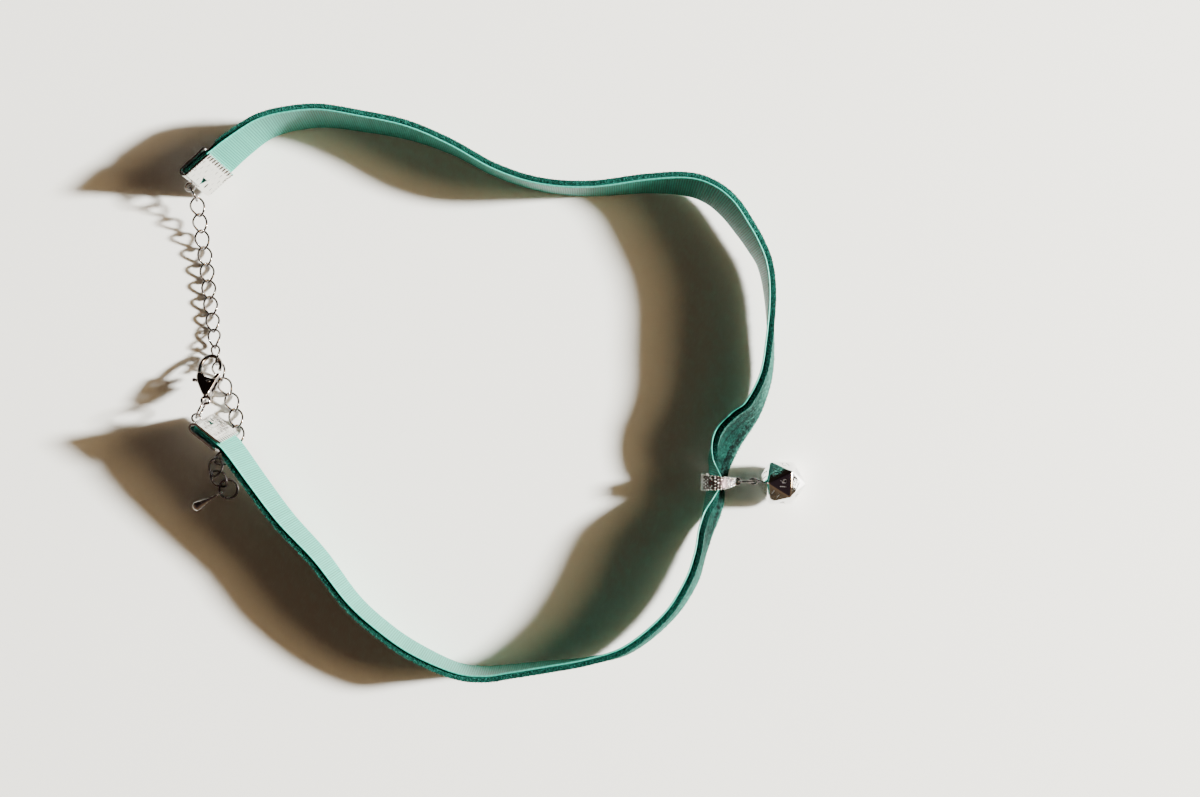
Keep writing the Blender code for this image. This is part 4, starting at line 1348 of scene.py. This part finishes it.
def make_teardrop(wire_point, finish):
    away = level_way(DROP_HEADING)
    start = wire_point + away * (DROP_LOOP_RADIUS - DROP_LOOP_WIRE / 4)
    fall = DROP_RADIUS + FLOOR_GAP - start.z
    axis = (away * DROP_LENGTH + Vector((0, 0, fall))).normalized()
    drop = turned("drop", start, axis, Vector((-away.y, away.x, 0)),
                  (*DROP_PROFILE, (1.0, 0.05)), DROP_LENGTH, DROP_RADIUS, 32, finish)
    loop = ring("drop_loop", wire_point, away, UP, DROP_LOOP_RADIUS,
                DROP_LOOP_WIRE, finish)
    return join("drop", [drop, loop])


# Floor, light and camera

def studio_world():
    """A dim, warm room: dark overhead and on the far side, and lighter towards its walls."""
    world = bpy.data.worlds.new("studio")
    world.use_nodes = True
    nodes, links = world.node_tree.nodes, world.node_tree.links
    place = nodes.new("ShaderNodeTexCoord")
    split = nodes.new("ShaderNodeSeparateXYZ")
    links.new(place.outputs["Generated"], split.inputs["Vector"])
    height = ramp(nodes, links, split.outputs["Z"],
                  [(0.0, (0.065, 0.052, 0.034)), (0.25, (0.130, 0.086, 0.050)),
                   (0.62, (0.155, 0.096, 0.055)), (0.92, (0.024, 0.015, 0.017))])
    wall = ramp(nodes, links, split.outputs["Y"],
                [(0.05, (1.1, 1.1, 1.1)), (0.45, (0.10, 0.10, 0.13))])
    room = multiply(nodes, links, height, wall, 1.0)
    links.new(room, nodes["Background"].inputs["Color"])
    return world


def stage_and_camera(shift):
    floor_z = cad_box[0][2]
    coat, *_ = new_material("floor", (0.86, 0.865, 0.815), 0.6, 0.0)
    corners = [(x * FLOOR_REACH, y * FLOOR_REACH)
               for x, y in ((-1, -1), (1, -1), (1, 1), (-1, 1))]
    floor = prism("floor", corners, floor_z - FLOOR_THICK, floor_z, Matrix.Identity(4), coat)

    bpy.context.scene.world = studio_world()

    def softbox(name, turn, rise, away, size, power, colour):
        data = bpy.data.lights.new(name, "AREA")
        data.shape = "DISK"
        data.size = size
        data.energy = power
        data.color = colour
        lamp = new_object(name, data)
        up = math.radians(rise)
        way = level_way(turn) * math.cos(up) + Vector((0, 0, math.sin(up)))
        lamp.location = way * away
        lamp.rotation_euler = way.to_track_quat("Z", "Y").to_euler()

    # Each has its heading, its angle above the floor, its distance and its width.
    softbox("key", 6, 22.6, 3.0, 0.30, 755.0, (1.0, 1.0, 0.98))
    # A wide warm light round the key softens the shadows' edges to brown.
    softbox("halo", 6, 23.5, 3.0, 1.5, 95.0, (1.0, 0.70, 0.38))
    softbox("window", 12, 11, 0.9, 0.5, 1.0, (1.0, 0.98, 0.95))

    data = bpy.data.cameras.new("camera")
    data.lens = LENS
    data.sensor_width = 36.0
    data.clip_start = 0.01
    camera = new_object("camera", data)
    camera.location = (CAMERA_AT[0] + shift.x, CAMERA_AT[1] + shift.y,
                       floor_z + CAMERA_HEIGHT)
    bpy.context.scene.camera = camera


# Build

def main():
    coarse, runs = dense_line()
    fine = resample(coarse, runs, RIB_PITCH / RIB_STEPS)
    bail_place = station(RIBBON_STATIONS[BAIL_STATION])
    near = min(range(len(coarse)), key=lambda k: math.dist(coarse[k][:2], bail_place[:2]))
    bail_run = runs[near]

    silver = plated("silver_plate", (0.74, 0.72, 0.71), 0.06, 0.13, 5000.0, 0.000006)
    # The wires and the clasp are coloured far darker than silver: a painted dark reflection of
    # the room.
    wire = plated("silver_wire", (0.23, 0.21, 0.21), 0.04, 0.08, 6000.0, 0.000004)
    clasp = plated("clasp_plate", (0.31, 0.28, 0.27), 0.05, 0.10, 5000.0, 0.000006)
    mirror = plated("polished_die", (0.90, 0.90, 0.91), 0.045, 0.09, 2500.0, 0.000006)
    sunk = plated("sunk_numerals", (0.45, 0.44, 0.43), 0.30, 0.45, 5000.0, 0.00002)
    granular = plated("granules", (0.88, 0.86, 0.86), 0.14, 0.25, 5000.0, 0.00001)
    field, *_ = new_material("oxidised_field", (0.10, 0.070, 0.070), 0.45, 0.7)
    dark, *_ = new_material("diamond", (0.11, 0.025, 0.025), 0.40, 0.6)
    plate = plated("crimp_plate", (0.80, 0.79, 0.77), 0.14, 0.24, 4000.0, 0.000015)
    back = ribbed()
    # Each velvet coat runs from painted shade at its dark end to painted sheen at its pale end.
    edge_coat = velvet("velvet_edge", (0.001, 0.009, 0.007), (0.012, 0.105, 0.080), 0.03, 0.45)
    face_coat = velvet("velvet_face", (0.001, 0.006, 0.005), (0.045, 0.185, 0.145), 0.01, 0.85)
    tuft_coat = velvet("velvet_tips", (0.002, 0.030, 0.023), (0.040, 0.290, 0.220), 0.06, 0.40)

    pieces = []

    def add(piece, *nodes, slot="silver", body="choker"):
        pieces.append((piece, nodes, slot, body))

    ribbon = make_ribbon(fine, bail_run, [back, edge_coat])
    pile_line = resample(coarse, runs, PILE_STEP)
    pile = make_pile_face(pile_line, bail_run, face_coat)
    tufts = make_tufts(pile_line, bail_run, tuft_coat)
    add(ribbon, "velvet_ribbon", slot="velvet")
    add(pile, slot="velvet")
    add(tufts, slot="velvet")

    rows = coarse_rows()
    chain_end = end_frame(rows, True)
    clasp_end = end_frame(rows, False)
    chain_hang = Vector(CHAIN_HANG).normalized()
    clasp_hang = Vector(CLASP_HANG).normalized()
    add(make_crimp("crimp_far", chain_end, chain_hang, plate, silver), "crimp_chain_end")
    add(make_crimp("crimp_near", clasp_end, clasp_hang, plate, silver), "crimp_clasp_end")

    chain_hole = chain_end @ Vector((TAB_REACH, 0, 0))
    add(ring("ring_chain", chain_hole + chain_hang * CHAIN_RING_RADIUS, chain_hang,
             hole_axis(chain_end, chain_hang), CHAIN_RING_RADIUS, RING_WIRE, wire, 1.9),
        "chain_jump_ring")
    to_joint = 2 * CHAIN_RING_RADIUS - past_joint(LINK_PITCH) - CHAIN_START_GAP
    joints = chain_joints(chain_hole + chain_hang * to_joint)
    for number, (start, end) in enumerate(zip(joints, joints[1:]), 1):
        add(make_link(number, start, end, wire), f"chain_link_{number:02d}")

    last_way = level_way(END_RING_HEADING)
    drop_way = level_way(DROP_HEADING)
    end_centre = joints[-1] + last_way * (END_RING_RADIUS - past_joint(SLACK_PITCH))
    add(ring("ring_end", end_centre, last_way, drop_way, END_RING_RADIUS, RING_WIRE, wire, 1.1),
        "end_jump_ring")
    add(make_teardrop(end_centre + drop_way * END_RING_RADIUS, silver), "teardrop")

    place = clasp_frame()
    ring_centre = place.translation - clasp_hang * CLASP_RING_RADIUS
    add(ring("ring_clasp", ring_centre, clasp_hang, hole_axis(clasp_end, clasp_hang),
             CLASP_RING_RADIUS, CLASP_RING_WIRE, wire, 1.3), "clasp_jump_ring")
    add(make_clasp_body(place, clasp), "clasp_body")
    add(make_clasp_lever(place, clasp), "clasp_lever", body="lever")

    seat = Vector((bail_place[0], bail_place[1], 0))
    bail, eye_centre = make_bail(seat, silver, field, dark, granular, wire)
    add(bail, "bail")
    ring_middle = eye_centre + Vector((BAIL_RING_RADIUS, 0, 0))
    add(ring("ring_bail", ring_middle, Vector((1, 0, 0)), UP, BAIL_RING_RADIUS,
             RING_WIRE, wire, 1.6), "bail_ring")
    add(make_die(ring_middle + Vector((BAIL_RING_RADIUS, 0, 0)), mirror, sunk, wire),
        "die_charm", slot="polished")

    # The bail ring is the same ring in the part's source, so its solid's box gives the shift.
    low, high = (Vector(c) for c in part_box("bail_ring"))
    shift = (low + high) / 2 - ring_middle
    for piece, nodes, slot, body in pieces:
        piece.data.transform(Matrix.Translation(shift))
        if nodes:
            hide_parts(*nodes)
        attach(piece, body)
    stage_and_camera(shift)


main()
